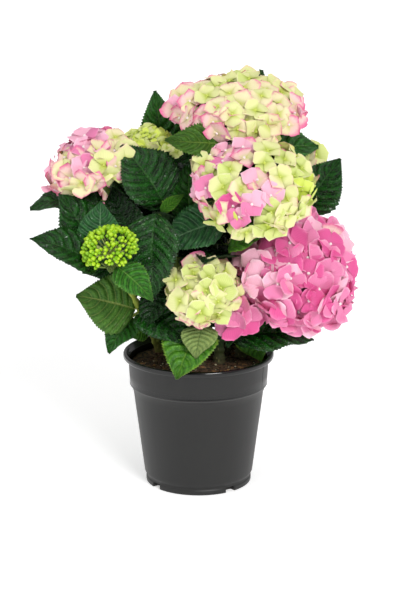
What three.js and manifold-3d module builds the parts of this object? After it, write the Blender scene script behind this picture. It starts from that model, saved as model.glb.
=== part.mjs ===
// A bigleaf hydrangea in a nursery pot, in millimetres, with +Z up.
// The origin is the centre of the pot's flat underside, and the plant's front faces -Y.
import * as THREE from "three";
import { mergeVertices } from "three/addons/utils/BufferGeometryUtils.js";
import Module from "manifold-3d";

const wasm = await Module();
wasm.setup();

// Clearances and tolerances
const GAP = 0.3;
const MERGE = 1e-4;
const SLIVER = 0.2;

// The pot is a thin-walled cone with a rolled lip, a collar and a stepped foot
const POT_SEGMENTS = 36;
const POT_HEIGHT = 169;
const LIP_RADIUS = 95;
const LIP_HEIGHT = 7;
const LIP_CURL = 3;
const COLLAR_TOP_RADIUS = 88.5;
const COLLAR_FOOT_RADIUS = 86.2;
const COLLAR_FOOT = 129;
const CHAMFER_HEIGHT = 8;
const BODY_TOP_RADIUS = 82.4;
const BODY_FOOT_RADIUS = 68.6;
const BODY_FOOT = 13;
const GROOVE_RADIUS = 65.8;
const GROOVE_TOP = 9;
const FOOT_RADIUS = 66.8;
const FOOT_HEIGHT = 6;
const POT_WALL = 2;
const POT_FLOOR = 4;
const NOTCH_COUNT = 4;
const NOTCH_WIDTH = 14;
const NOTCH_DEPTH = 9;
const NOTCH_HEIGHT = 6.5;
const NOTCH_TURN = -143;

// The soil fills the pot to just under the lip
const SOIL_TOP = 155;
const SOIL_FLAT_RADIUS = 74;
const SOIL_EDGE_DROP = 4;

// Canes, shoots and stalks
const CANE_SIDES = 8;
const CANE_RINGS = 4;
const SHOOT_SIDES = 6;
const SHOOT_RINGS = 4;
const FLARE = 3.4;
const FLARE_REACH = 9;
const STALK_SHARE = 0.03;
const STALK_REACH = 0.3;
const STALK_STRAIGHT = 4;

// Leaves: a broad oval blade with a drawn-out tip, folded at its midrib and arched along it.
// A leaf's stations run from -1 at the petiole's root, by 0 at the blade's base, to 1 at its tip.
const LEAF_STATIONS = [-1, 0, 0.15, 0.42, 0.74, 1];
const LEAF_THICKNESS = 1.4;
const LEAF_BREADTH = 0.66;
const LEAF_FOLD = 16;
const LEAF_ARCH = 40;
const PETIOLE_SHARE = 0.24;
const PETIOLE_RADIUS = 1.9;
const PETIOLE_RISE = 25;

// Small leaves that fill the inside of each shoot, where there is room
const FILLER_SEED = 40;
const FILLER_TRIES = 24;
const FILLERS = 1;
const FILLER_INSET = 0.06;
const FILLER_HIGHEST = 0.86;
const FILLER_RISE = [-24, 36];
const FILLER_LONG = [56, 84];

// Flower heads: a dome of four-lobed florets that stand out of a smaller core
const CORE_SHARE = 0.87;
const CORE_SIDES = 8;
const CORE_RINGS = 5;
const UNDERSIDE = 0.5;
const FLORET_RADIUS = 19.5;
const FLORET_SIDES = 8;
const FLORET_PITCH = 42;
const FLORET_WAIST = 0.6;
const FLORET_NOD = 14;
const FLORET_ROOT = 10;
const DOME_EDGE = 112;
const GOLDEN_TURN = 137.50776;
const TURN_SPREAD = 14;

// The green bud cluster: small buds on a low dome
const BUD_RADIUS = 6;
const BUD_PITCH = 16;
const BUD_EDGE = 92;

// A leaf row: at = share of the stem, turn = compass of the blade, rise = slope of its chord,
// long = blade length, roll = lean about the chord, stalk = the petiole where it isn't the usual one.
// Turn 0 is +X and 270 is the front. A stem goes straight up from its foot, or aside by its lean,
// and bends over at its knee.
const STEMS = [
  {
    name: "top",
    foot: [12, 30],
    knee: 320,
    girth: [5.4, 3.4],
    leafy: 0.5,
    head: { centre: [43, 30, 472], tilt: 10, toward: 275, radius: 87, height: 49 },
    leaves: [
      { at: 0.86, turn: 203, rise: 15, long: 88, roll: -35, arch: -25, stalk: [12, 203, 40] },
      { at: 0.86, turn: 13, rise: 10, long: 98, roll: 15 },
      { at: 0.8, turn: 68, rise: 66, long: 120, stalk: [44, 75, 5], arch: -20 },
      { at: 0.72, turn: 262, rise: -14, long: 70 },
      { at: 0.6, turn: 116, rise: 16, long: 88 },
      { at: 0.6, turn: 345, rise: 10, long: 96 },
    ],
  },
  {
    name: "left",
    foot: [-30, 34],
    knee: 250,
    girth: [5, 3],
    leafy: 0.5,
    head: { centre: [-130, 10, 402], tilt: 28, toward: 200, radius: 60, height: 46 },
    leaves: [
      { at: 0.85, turn: 190, rise: -11, long: 88, roll: -20 },
      { at: 0.85, turn: 355, rise: -8, long: 78, roll: 20 },
      { at: 0.7, turn: 88, rise: 42, long: 88 },
      { at: 0.52, turn: 165, rise: 14, long: 88 },
    ],
  },
  {
    name: "front",
    foot: [26, -4],
    knee: 280,
    girth: [5.4, 3.2],
    leafy: 0.09,
    head: { centre: [70, -70, 389], tilt: 35, toward: 275, radius: 77, height: 52 },
    leaves: [
      { at: 0.86, turn: 178, rise: -20, long: 86, roll: -44 },
      { at: 0.64, turn: 345, rise: 23, long: 78, roll: 30, stalk: [29, 265, 29] },
      { at: 0.55, turn: 250, rise: 14, long: 74 },
      { at: 0.55, turn: 73, rise: -14, long: 72, roll: 15 },
      { at: 0.32, turn: 198, rise: 12, long: 84, roll: -15 },
      { at: 0.14, turn: 8, rise: -3, long: 106, roll: 30, arch: 60, stalk: [34, 300, 10] },
    ],
  },
  {
    name: "right",
    foot: [54, 22],
    knee: 215,
    girth: [5.2, 3.4],
    leafy: 0.2,
    head: { centre: [115, -18, 275], tilt: 46, toward: 318, radius: 85, height: 78 },
    leaves: [
      { at: 0.8, turn: 60, rise: 0, long: 96 },
      { at: 0.8, turn: 240, rise: -30, long: 80 },
      { at: 0.58, turn: 353, rise: -15, long: 88 },
      { at: 0.58, turn: 137, rise: 34, long: 76 },
      { at: 0.35, turn: 30, rise: 0, long: 92 },
      { at: 0.3, turn: 296, rise: -34, long: 44, stalk: [30, 310, 8] },
    ],
  },
  {
    name: "low",
    foot: [2, -14],
    knee: 215,
    girth: [4.2, 2.8],
    leafy: 0.3,
    head: { centre: [6, -77, 266], tilt: 45, toward: 265, radius: 49, height: 40 },
    leaves: [
      { at: 0.82, turn: 262, rise: -46, long: 44, stalk: [26, 265, -42], broad: 0.8 },
      { at: 0.7, turn: 165, rise: 8, long: 63 },
      { at: 0.7, turn: 345, rise: -7, long: 64 },
      { at: 0.42, turn: 252, rise: -36, long: 80, broad: 0.78, stalk: [20, 235, 20] },
    ],
  },
  {
    name: "lime",
    foot: [-14, 52],
    knee: 300,
    girth: [4.6, 2.8],
    leafy: 0.55,
    head: { centre: [-66, 55, 424], tilt: 12, toward: 200, radius: 38, height: 27 },
    leaves: [
      { at: 0.9, turn: 92, rise: 80, long: 92, stalk: [44, 80, 5] },
      { at: 0.84, turn: 262, rise: -12, long: 60 },
      { at: 0.7, turn: 160, rise: -24, long: 84 },
      { at: 0.7, turn: 22, rise: -22, long: 86 },
    ],
  },
  {
    name: "buds",
    foot: [-49, 41],
    lean: [-31, -26],
    knee: 212,
    girth: [5.2, 3],
    leafy: 0.3,
    head: { centre: [-106, -84, 321], tilt: 38, toward: 250, radius: 34, height: 22, buds: true },
    leaves: [
      { at: 0.86, turn: 90, rise: 84, long: 60, stalk: [36, 158, 38] },
      { at: 0.92, turn: 320, rise: -30, long: 66, stalk: [24, 290, 6], broad: 0.62 },
      { at: 0.84, turn: 190, rise: 26, long: 94, stalk: [26, 199, 10], roll: -36 },
      { at: 0.74, turn: 172, rise: 58, long: 104, stalk: [32, 165, 30], roll: -58 },
      { at: 0.44, turn: 197, rise: 40, long: 92, roll: -62, broad: 0.88, stalk: [8, 200, 20] },
      { at: 0.44, turn: 316, rise: -22, long: 80, roll: 24 },
      { at: 0.36, turn: 222, rise: -38, long: 54, broad: 0.56 },
    ],
  },
  {
    name: "leafy_shoot",
    foot: [-20, 6],
    knee: 280,
    girth: [4.4, 2.4],
    leafy: 0.45,
    tip: [-42, -22, 352],
    leaves: [
      { at: 0.95, turn: 170, rise: 54, long: 84, roll: -50, broad: 0.78 },
      { at: 0.95, turn: 256, rise: -80, long: 104, stalk: [38, 250, 22], roll: 8, broad: 0.58 },
      { at: 0.99, turn: 22, rise: 40, long: 44, stalk: [8, 22, 40], fold: 60, broad: 0.6 },
      { at: 0.7, turn: 66, rise: 12, long: 82 },
      { at: 0.7, turn: 240, rise: -8, long: 80 },
    ],
  },
  {
    name: "back_right",
    foot: [34, 50],
    knee: 260,
    girth: [5, 3.2],
    leafy: 0.4,
    head: { centre: [86, 108, 366], tilt: 28, toward: 62, radius: 70, height: 46 },
    leaves: [
      { at: 0.9, turn: 350, rise: 8, long: 76, stalk: [46, 320, 18], roll: 58 },
      { at: 0.84, turn: 150, rise: 6, long: 94 },
      { at: 0.7, turn: 60, rise: 0, long: 104 },
      { at: 0.7, turn: 204, rise: 3, long: 68 },
      { at: 0.5, turn: 12, rise: -6, long: 92 },
      { at: 0.5, turn: 103, rise: -18, long: 76 },
    ],
  },
  {
    name: "back_left",
    foot: [-36, 62],
    knee: 250,
    girth: [4.8, 3],
    leafy: 0.4,
    head: { centre: [-78, 122, 348], tilt: 30, toward: 118, radius: 62, height: 44 },
    leaves: [
      { at: 0.84, turn: 206, rise: -30, long: 88 },
      { at: 0.84, turn: 7, rise: -2, long: 84, roll: -15 },
      { at: 0.7, turn: 115, rise: -5, long: 98 },
      { at: 0.6, turn: 270, rise: 18, long: 60 },
      { at: 0.5, turn: 195, rise: -10, long: 100 },
      { at: 0.5, turn: 60, rise: 36, long: 78 },
    ],
  },
  {
    name: "back_low",
    foot: [4, 66],
    knee: 210,
    girth: [4.6, 3],
    leafy: 0.4,
    head: { centre: [12, 148, 268], tilt: 52, toward: 86, radius: 55, height: 42 },
    leaves: [
      { at: 0.84, turn: 175, rise: -8, long: 92 },
      { at: 0.84, turn: 350, rise: -21, long: 92 },
      { at: 0.66, turn: 95, rise: -28, long: 84 },
      { at: 0.66, turn: 20, rise: -7, long: 86 },
      { at: 0.45, turn: 150, rise: -4, long: 84 },
      { at: 0.45, turn: 45, rise: -16, long: 80 },
    ],
  },
];

const radians = THREE.MathUtils.degToRad;

// A unit vector from a compass turn and a slope, both in degrees.
function heading(turn, rise) {
  const level = Math.cos(radians(rise));
  return new THREE.Vector3(
    level * Math.cos(radians(turn)),
    level * Math.sin(radians(turn)),
    Math.sin(radians(rise)),
  );
}

// A repeatable source of numbers from 0 to 1, seeded by a whole number.
function seeded(seed) {
  let state = (seed * 7919 + 104729) % 2147483647;
  return () => {
    state = (state * 16807) % 2147483647;
    return state / 2147483647;
  };
}

// A geometry whose seams and poles are closed: vertices that share a place are merged.
function weld(geometry) {
  geometry.deleteAttribute("normal");
  geometry.deleteAttribute("uv");
  return mergeVertices(geometry, MERGE);
}

// A welded geometry as a solid, without the faces that welding collapsed.
function toSolid(geometry) {
  const corners = geometry.index.array;
  const faces = [];
  for (let i = 0; i < corners.length; i += 3) {
    const [a, b, c] = corners.slice(i, i + 3);
    if (a !== b && b !== c && c !== a) {
      faces.push(a, b, c);
    }
  }
  return new wasm.Manifold(
    new wasm.Mesh({
      numProp: 3,
      vertProperties: geometry.attributes.position.array,
      triVerts: new Uint32Array(faces),
    }),
  );
}

// A solid's surface as a geometry with flat faces.
function toGeometry(solid) {
  const mesh = solid.getMesh();
  const geometry = new THREE.BufferGeometry();
  geometry.setAttribute("position", new THREE.BufferAttribute(mesh.vertProperties, 3));
  geometry.setIndex(new THREE.BufferAttribute(mesh.triVerts, 1));
  geometry.computeVertexNormals();
  return geometry;
}

// Several solids as one: sealed hollows are filled and loose scraps are dropped.
function fuse(solids) {
  const bodies = wasm.Manifold.union(solids).decompose();
  const largest = bodies.reduce((most, body) => (body.volume() > most.volume() ? body : most));
  return largest.simplify(SLIVER);
}

// Whether a solid keeps its clearance from every one of some others.
function isClear(solid, others) {
  return others.every((other) => solid.minGap(other, 2 * GAP) > GAP);
}

// Welds a geometry and moves every vertex of it by a function of its place.
function reshape(rough, move) {
  const geometry = weld(rough);
  const place = geometry.attributes.position;
  const point = new THREE.Vector3();
  for (let i = 0; i < place.count; i++) {
    const moved = move(point.fromBufferAttribute(place, i));
    place.setXYZ(i, moved.x, moved.y, moved.z);
  }
  return geometry;
}

// A surface of revolution about +Z from [radius, height] pairs that start and end on the axis.
function turned(profile) {
  const points = profile.map(([radius, height]) => new THREE.Vector2(radius, height));
  return weld(new THREE.LatheGeometry(points, POT_SEGMENTS).rotateX(Math.PI / 2));
}

// A round limb along part of a curve: a closed cylinder whose rings are moved onto the curve.
// The first ring of a limb that stands on the soil is level.
function limb(curve, from, to, radiusAt, sides, rings, standing = false) {
  const chord = curve.getPointAt(to).sub(curve.getPointAt(from)).normalize();
  const across =
    Math.abs(chord.x) < 0.7 ? new THREE.Vector3(1, 0, 0) : new THREE.Vector3(0, 1, 0);
  return reshape(new THREE.CylinderGeometry(1, 1, 1, sides, rings), (p) => {
    const share = THREE.MathUtils.lerp(from, to, p.y + 0.5);
    const along = standing && share === 0 ? new THREE.Vector3(0, 0, 1) : curve.getTangentAt(share);
    const side = across.clone().cross(along).normalize();
    const depth = side.clone().cross(along);
    const radius = radiusAt(share);
    return curve
      .getPointAt(share)
      .addScaledVector(side, p.x * radius)
      .addScaledVector(depth, p.z * radius);
  });
}

// Half the breadth of a blade, as a share of its widest, at a share of its length.
function bladeOutline(share) {
  const round = Math.sin(Math.PI * Math.pow(share, 0.72));
  const drawnOut = 1 - 0.35 * Math.pow(share, 3);
  return Math.max(0.05, Math.pow(Math.max(round, 0), 0.8) * drawnOut);
}

// The blade's midrib in the plane of its chord: an arc that bends by the arch angle.
function midrib(share, long, arch) {
  const bend = radians(arch);
  const start = bend / 2;
  const reach = (long / bend) * (Math.sin(start) - Math.sin(start - bend * share));
  const lift = (long / bend) * (Math.cos(start - bend * share) - Math.cos(start));
  return [reach, lift];
}

// The matrix that rolls, tips and turns a blade, and sets it on its base.
function bladeFrame(row, base) {
  const turn = new THREE.Euler(radians(row.roll ?? 0), -radians(row.rise), radians(row.turn), "ZYX");
  return new THREE.Matrix4().makeRotationFromEuler(turn).setPosition(base);
}

// A leaf: a thin box whose first stations are drawn into a petiole that is rooted in the stem's middle,
// and whose others are drawn into the blade.
function leaf(row, curve) {
  const root = curve.getPointAt(row.at);
  const usual = [row.long * PETIOLE_SHARE, row.turn, row.rise + PETIOLE_RISE];
  const [length, turn, rise] = row.stalk ?? usual;
  const stalk = heading(turn, rise);
  const place = bladeFrame(row, root.clone().addScaledVector(stalk, length));
  const side = new THREE.Vector3(0, 1, 0).transformDirection(place);
  side.addScaledVector(stalk, -side.dot(stalk)).normalize();
  const upper = stalk.clone().cross(side);
  const fold = radians(row.fold ?? LEAF_FOLD);
  const halfBreadth = (row.long * (row.broad ?? LEAF_BREADTH)) / 2;
  const steps = LEAF_STATIONS.length - 1;
  return reshape(new THREE.BoxGeometry(steps, 2, 1, steps, 2, 1), (p) => {
    const station = LEAF_STATIONS[Math.round(p.x + steps / 2)];
    if (station <= 0) {
      return root
        .clone()
        .addScaledVector(stalk, length * (station + 1))
        .addScaledVector(side, p.y * PETIOLE_RADIUS)
        .addScaledVector(upper, p.z * 2 * PETIOLE_RADIUS);
    }
    const [reach, lift] = midrib(station, row.long, row.arch ?? LEAF_ARCH);
    const out = p.y * halfBreadth * bladeOutline(station);
    return new THREE.Vector3(
      reach,
      out * Math.cos(fold),
      lift + Math.abs(out) * Math.sin(fold) + p.z * LEAF_THICKNESS,
    ).applyMatrix4(place);
  });
}

// The frame of a flower head: its own +Z is the way it faces.
function headFrame(head) {
  const facing = heading(head.toward, 90 - head.tilt);
  const turn = new THREE.Quaternion().setFromUnitVectors(new THREE.Vector3(0, 0, 1), facing);
  return new THREE.Matrix4().makeRotationFromQuaternion(turn).setPosition(...head.centre);
}

// A point on a head's dome, from the angle off its axis and the turn about it, with the outward normal.
function domePoint(head, angle, turn) {
  const across = Math.sin(radians(angle));
  const up = Math.cos(radians(angle));
  const height = up > 0 ? head.height : head.height * UNDERSIDE;
  const east = across * Math.cos(radians(turn));
  const north = across * Math.sin(radians(turn));
  const point = new THREE.Vector3(head.radius * east, head.radius * north, height * up);
  const normal = new THREE.Vector3(east / head.radius, north / head.radius, up / height);
  return [point, normal.normalize()];
}

// The rounded core that a head's florets or buds stand out of.
function core(head) {
  const ball = new THREE.SphereGeometry(1, CORE_SIDES, CORE_RINGS).rotateX(Math.PI / 2);
  return reshape(ball, (p) => {
    const height = p.z > 0 ? head.height : head.height * UNDERSIDE;
    return new THREE.Vector3(
      p.x * head.radius * CORE_SHARE,
      p.y * head.radius * CORE_SHARE,
      p.z * height * CORE_SHARE,
    );
  }).applyMatrix4(headFrame(head));
}

// A floret: a cone whose rim is drawn into four sepals, with its point sunk in the core.
function floret(head, angle, turn, random) {
  const [point, normal] = domePoint(head, angle, turn);
  const depth = head.radius * (1 - CORE_SHARE) + FLORET_ROOT;
  const spin = random() * 360;
  const nod = heading(random() * 360, 0).multiplyScalar(Math.sin(radians(FLORET_NOD)) * random());
  const facing = normal.clone().add(nod).normalize();
  const cone = new THREE.ConeGeometry(1, 1, FLORET_SIDES).rotateX(-Math.PI / 2);
  const upright = new THREE.Quaternion().setFromUnitVectors(new THREE.Vector3(0, 0, 1), facing);
  return reshape(cone, (p) => {
    const around = Math.atan2(p.y, p.x);
    const onRim = Math.hypot(p.x, p.y) > 0.5;
    const lobe = FLORET_WAIST + (1 - FLORET_WAIST) * Math.sqrt(Math.abs(Math.sin(2 * around)));
    const radius = onRim ? FLORET_RADIUS * lobe : 0;
    const height = onRim || p.z < 0 ? (p.z - 0.5) * depth : -1;
    return new THREE.Vector3(radius * Math.cos(around), radius * Math.sin(around), height)
      .applyAxisAngle(new THREE.Vector3(0, 0, 1), radians(spin))
      .applyQuaternion(upright)
      .add(point);
  }).applyMatrix4(headFrame(head));
}

// A flower bud: a small faceted ball, half sunk in the core.
function bud(head, angle, turn) {
  const [point, normal] = domePoint(head, angle, turn);
  const middle = point.addScaledVector(normal, -BUD_RADIUS);
  const ball = new THREE.OctahedronGeometry(BUD_RADIUS).translate(...middle);
  return weld(ball.applyMatrix4(headFrame(head)));
}

// The seeded rule of a head: florets or buds on a golden spiral from its crown to under its edge.
function bloom(head, seed) {
  const random = seeded(seed);
  const pitch = head.buds ? BUD_PITCH : FLORET_PITCH;
  const edge = Math.cos(radians(head.buds ? BUD_EDGE : DOME_EDGE));
  const area = Math.PI * head.radius * (head.radius + head.height) * (1 - edge);
  const count = Math.round(area / (pitch * pitch));
  const pieces = [];
  for (let i = 0; i < count; i++) {
    const angle = THREE.MathUtils.radToDeg(Math.acos(1 - ((i + 0.5) / count) * (1 - edge)));
    const turn = i * GOLDEN_TURN + TURN_SPREAD * random();
    pieces.push(toSolid(head.buds ? bud(head, angle, turn) : floret(head, angle, turn, random)));
  }
  return pieces;
}

// The stem's curve: straight up from the soil, over at its knee, and on to its head or its tip.
function stemCurve(stem) {
  const [x, y] = stem.foot;
  const [east, north] = stem.lean ?? [0, 0];
  const end = stem.head
    ? new THREE.Vector3(0, 0, -stem.head.height * UNDERSIDE).applyMatrix4(headFrame(stem.head))
    : new THREE.Vector3(...stem.tip);
  return new THREE.QuadraticBezierCurve3(
    new THREE.Vector3(x, y, SOIL_TOP + GAP),
    new THREE.Vector3(x + east, y + north, stem.knee),
    end,
  );
}

// The pot, with drainage notches cut in the corner of its foot.
function potSolid() {
  const lipFoot = POT_HEIGHT - LIP_HEIGHT;
  const outside = [
    [0, 0],
    [FOOT_RADIUS, 0],
    [FOOT_RADIUS, FOOT_HEIGHT],
    [GROOVE_RADIUS, GROOVE_TOP - 2],
    [GROOVE_RADIUS, GROOVE_TOP],
    [BODY_FOOT_RADIUS, BODY_FOOT],
    [BODY_TOP_RADIUS, COLLAR_FOOT - CHAMFER_HEIGHT],
    [COLLAR_FOOT_RADIUS, COLLAR_FOOT],
    [COLLAR_TOP_RADIUS, lipFoot],
    [LIP_RADIUS, lipFoot + 1],
    [LIP_RADIUS, POT_HEIGHT - LIP_CURL],
    [LIP_RADIUS - LIP_CURL, POT_HEIGHT],
  ];
  const shell = toSolid(turned([...outside, ...insideOfPot(0).reverse()]));
  const notches = [];
  for (let i = 0; i < NOTCH_COUNT; i++) {
    const box = new THREE.BoxGeometry(2 * NOTCH_DEPTH, NOTCH_WIDTH, 2 * NOTCH_HEIGHT)
      .translate(FOOT_RADIUS, 0, 0)
      .rotateZ(radians(NOTCH_TURN + (i * 360) / NOTCH_COUNT));
    notches.push(toSolid(weld(box)));
  }
  return shell.subtract(wasm.Manifold.union(notches));
}

// The inner outline of the pot from the axis up, kept a clearance inside the wall.
function insideOfPot(clearance) {
  const wall = POT_WALL + clearance;
  return [
    [0, POT_FLOOR + clearance],
    [FOOT_RADIUS - wall - 1, POT_FLOOR + clearance],
    [BODY_FOOT_RADIUS - wall, BODY_FOOT],
    [BODY_TOP_RADIUS - wall, COLLAR_FOOT - CHAMFER_HEIGHT],
    [COLLAR_FOOT_RADIUS - wall, COLLAR_FOOT],
    [COLLAR_TOP_RADIUS - wall, POT_HEIGHT - LIP_HEIGHT],
    [LIP_RADIUS - LIP_CURL - POT_WALL, POT_HEIGHT],
  ];
}

// The soil: the pot's inside up to the soil line, level where the canes stand and lower at the edge.
function soilSolid() {
  const lower = insideOfPot(GAP).slice(0, 5);
  const [footRadius, footHeight] = lower[4];
  const slope = (COLLAR_TOP_RADIUS - COLLAR_FOOT_RADIUS) / (POT_HEIGHT - LIP_HEIGHT - COLLAR_FOOT);
  const edgeHeight = SOIL_TOP - SOIL_EDGE_DROP;
  const edgeRadius = footRadius + slope * (edgeHeight - footHeight);
  return toSolid(turned([...lower, [edgeRadius, edgeHeight], [SOIL_FLAT_RADIUS, SOIL_TOP], [0, SOIL_TOP]]));
}

// A stem's radius at a share of its length: an even taper, with a flare at the soil.
function girthAt(stem, length) {
  const [thick, thin] = stem.girth;
  return (share) =>
    THREE.MathUtils.lerp(thick, thin, share) + FLARE * Math.exp((-share * length) / FLARE_REACH);
}

const colours = {
  pot: { color: 0x2d2e30, roughness: 0.5 },
  soil: { color: 0x2e2019, roughness: 1 },
  cane: { color: 0x7d8a45, roughness: 0.7 },
  shoot: { color: 0x2f6a2c, roughness: 0.5 },
  buds: { color: 0x9ccc2e, roughness: 0.6 },
  cream: { color: 0xdfe59a, roughness: 0.7 },
  pink: { color: 0xe888ad, roughness: 0.7 },
};
const BLOOM_COLOURS = { left: "pink", right: "pink", front: "pink", back_left: "pink" };

const root = new THREE.Group();

// Adds a solid to the plant as one named mesh.
function addNode(name, solid, colour) {
  const mesh = new THREE.Mesh(
    toGeometry(solid),
    new THREE.MeshStandardMaterial({ metalness: 0, ...colours[colour] }),
  );
  mesh.name = name;
  root.add(mesh);
}

// The parts that everything else keeps clear of come first: pot, soil, canes, shoot stems and cores.
const pot = potSolid();
const soil = soilSolid();
const plants = STEMS.map((stem) => {
  const curve = stemCurve(stem);
  const length = curve.getLength();
  const girth = girthAt(stem, length);
  const step = GAP / length;
  const shootEnd = stem.head ? 1 - STALK_SHARE - step : 1;
  const cane = toSolid(limb(curve, 0, stem.leafy, girth, CANE_SIDES, CANE_RINGS, true));
  const stalk = toSolid(limb(curve, stem.leafy + step, shootEnd, girth, SHOOT_SIDES, SHOOT_RINGS));
  const plant = { stem, curve, cane, shoot: [stalk], bloom: [] };
  if (stem.head) {
    const start = curve.getPointAt(shootEnd + step);
    const end = new THREE.QuadraticBezierCurve3(
      start,
      start.clone().addScaledVector(curve.getTangentAt(shootEnd + step), STALK_STRAIGHT),
      curve.getPointAt(1).addScaledVector(curve.getTangentAt(1), stem.head.height * STALK_REACH),
    );
    plant.bloom.push(toSolid(core(stem.head)), toSolid(limb(end, 0, 1, () => stem.girth[1], SHOOT_SIDES, 1)));
  }
  return plant;
});

// Everything that belongs to other nodes than one shoot or one head.
function neighbours(plant, part) {
  const others = [pot, soil];
  plants.forEach((other) => {
    others.push(other.cane);
    if (other !== plant || part !== "shoot") {
      others.push(...other.shoot);
    }
    if (other !== plant || part !== "bloom") {
      others.push(...other.bloom);
    }
  });
  return others;
}

// Adds those leaves of a shoot that keep clear of every neighbour, up to a number of them.
function addLeaves(plant, rows, most) {
  const others = neighbours(plant, "shoot");
  let left = most;
  for (const row of rows) {
    const piece = toSolid(leaf(row, plant.curve));
    if (left > 0 && isClear(piece, others)) {
      plant.shoot.push(piece);
      left -= 1;
    }
  }
}

// The seeded rule of the leaves that fill a shoot's inside: they point any way from any height of it.
function fillers(stem, seed) {
  const random = seeded(seed);
  return Array.from({ length: FILLER_TRIES }, () => ({
    at: THREE.MathUtils.lerp(stem.leafy + FILLER_INSET, FILLER_HIGHEST, random()),
    turn: 360 * random(),
    rise: THREE.MathUtils.lerp(...FILLER_RISE, random()),
    long: THREE.MathUtils.lerp(...FILLER_LONG, random()),
  }));
}

// The leaves that show are added first, shoot by shoot, and then the ones that fill the inside.
plants.forEach((plant) => addLeaves(plant, plant.stem.leaves, plant.stem.leaves.length));
plants.forEach((plant, i) => addLeaves(plant, fillers(plant.stem, FILLER_SEED + i), FILLERS));

// Florets and buds come last, by the same rule.
plants.forEach((plant, seed) => {
  if (!plant.stem.head) {
    return;
  }
  const others = neighbours(plant, "bloom");
  plant.bloom.push(...bloom(plant.stem.head, seed + 1).filter((piece) => isClear(piece, others)));
});

addNode("pot", pot, "pot");
addNode("soil", soil, "soil");
plants.forEach(({ stem, cane, shoot, bloom }) => {
  addNode("cane_" + stem.name, cane, "cane");
  addNode("foliage_" + stem.name, fuse(shoot), "shoot");
  if (stem.head) {
    const colour = stem.head.buds ? "buds" : (BLOOM_COLOURS[stem.name] ?? "cream");
    addNode("flowers_" + stem.name, fuse(bloom), colour);
  }
});

export default root;
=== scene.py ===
"""A bigleaf hydrangea in a round nursery pot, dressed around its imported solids.

Lengths are in millimetres until a mesh is made, and angles are in degrees. +Z is up, the plant's front
faces -Y, and the origin is the centre of the pot's flat underside.
"""

import logging
import math
from dataclasses import dataclass, field
from enum import Enum
from typing import Callable, Iterator, Sequence

import bpy
import numpy as np
from mathutils import Matrix, Vector
from mathutils.bvhtree import BVHTree


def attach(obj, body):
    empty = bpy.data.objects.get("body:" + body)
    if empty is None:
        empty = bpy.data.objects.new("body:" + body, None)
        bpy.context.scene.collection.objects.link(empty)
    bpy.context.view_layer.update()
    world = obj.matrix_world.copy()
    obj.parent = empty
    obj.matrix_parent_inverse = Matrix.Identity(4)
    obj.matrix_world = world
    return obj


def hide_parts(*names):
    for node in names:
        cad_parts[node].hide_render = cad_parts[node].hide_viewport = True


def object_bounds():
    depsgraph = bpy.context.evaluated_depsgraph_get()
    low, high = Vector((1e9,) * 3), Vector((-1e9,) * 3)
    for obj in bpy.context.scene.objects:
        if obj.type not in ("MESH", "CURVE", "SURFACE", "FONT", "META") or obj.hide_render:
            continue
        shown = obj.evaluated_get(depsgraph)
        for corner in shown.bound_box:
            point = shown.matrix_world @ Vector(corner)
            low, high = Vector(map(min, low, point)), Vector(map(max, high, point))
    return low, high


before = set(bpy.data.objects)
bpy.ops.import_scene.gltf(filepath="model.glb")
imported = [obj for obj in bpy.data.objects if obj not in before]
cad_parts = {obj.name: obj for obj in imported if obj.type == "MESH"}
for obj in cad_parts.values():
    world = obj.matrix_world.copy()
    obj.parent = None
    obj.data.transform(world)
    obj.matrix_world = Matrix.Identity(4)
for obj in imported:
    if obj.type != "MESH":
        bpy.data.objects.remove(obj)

LOG = logging.getLogger("hydrangea")
CAD_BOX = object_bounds()
BODY = "root"
MM = 0.001
UV_MAP = "OFBake"

Colour = tuple[float, float, float, float]
Pair = tuple[float, float]
Triple = tuple[float, float, float]
Array = np.ndarray
Luck = np.random.Generator
Piece = bpy.types.Object
Material = bpy.types.Material
Socket = bpy.types.NodeSocket

WHITE: Colour = (1.0, 1.0, 1.0, 1.0)

# The soil line, and the shares of the growth rule
SOIL_TOP = 155.3
UNDERSIDE = 0.5
PETIOLE_SHARE = 0.24
PETIOLE_RISE = 25.0
FLARE = 3.4
FLARE_REACH = 9.0
BUD_EDGE = 92.0
GOLDEN_TURN = 137.50776
TURN_SPREAD = 14.0

# A full turn for waves and spins, the slope of the view, and the limits of joining and smoothing
FULL_TURN = 6.28
VIEW_LEVEL = 0.97
VIEW_FALL = 0.26
SAME_PLACE = 0.01
UNSPLIT = 180.0


def srgb(code: str) -> Colour:
    """Turns a six-digit colour code into a linear colour.

    Args:
        code: Red, green and blue as two hexadecimal digits each.

    Returns:
        The linear red, green and blue, with an alpha of 1.
    """
    parts = [int(code[i : i + 2], 16) / 255 for i in (0, 2, 4)]
    red, green, blue = (p / 12.92 if p <= 0.04045 else ((p + 0.055) / 1.055) ** 2.4 for p in parts)
    return (red, green, blue, 1.0)


def heading(turn: float, rise: float) -> Vector:
    """Gives the unit vector of a compass turn and a slope.

    Args:
        turn: Degrees from +X about +Z.
        rise: Degrees above the level.

    Returns:
        The unit vector.
    """
    level = math.cos(math.radians(rise))
    east = level * math.cos(math.radians(turn))
    north = level * math.sin(math.radians(turn))
    return Vector((east, north, math.sin(math.radians(rise))))


def seeded(seed: int) -> Iterator[float]:
    """Yields repeatable numbers from 0 to 1, by the same rule as the part's source.

    Args:
        seed: A whole number.

    Yields:
        The next number.
    """
    state = (seed * 7919 + 104729) % 2147483647
    while True:
        state = (state * 16807) % 2147483647
        yield state / 2147483647


def lerp(start: float, end: float, share: float) -> float:
    """Gives the value at a share of the way from start to end."""
    return start + (end - start) * share


def smooth(low: float, high: float, value: Array) -> Array:
    """Gives a smooth step from 0 at low to 1 at high."""
    share = np.clip((value - low) / (high - low), 0.0, 1.0)
    return share * share * (3.0 - 2.0 * share)


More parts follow.
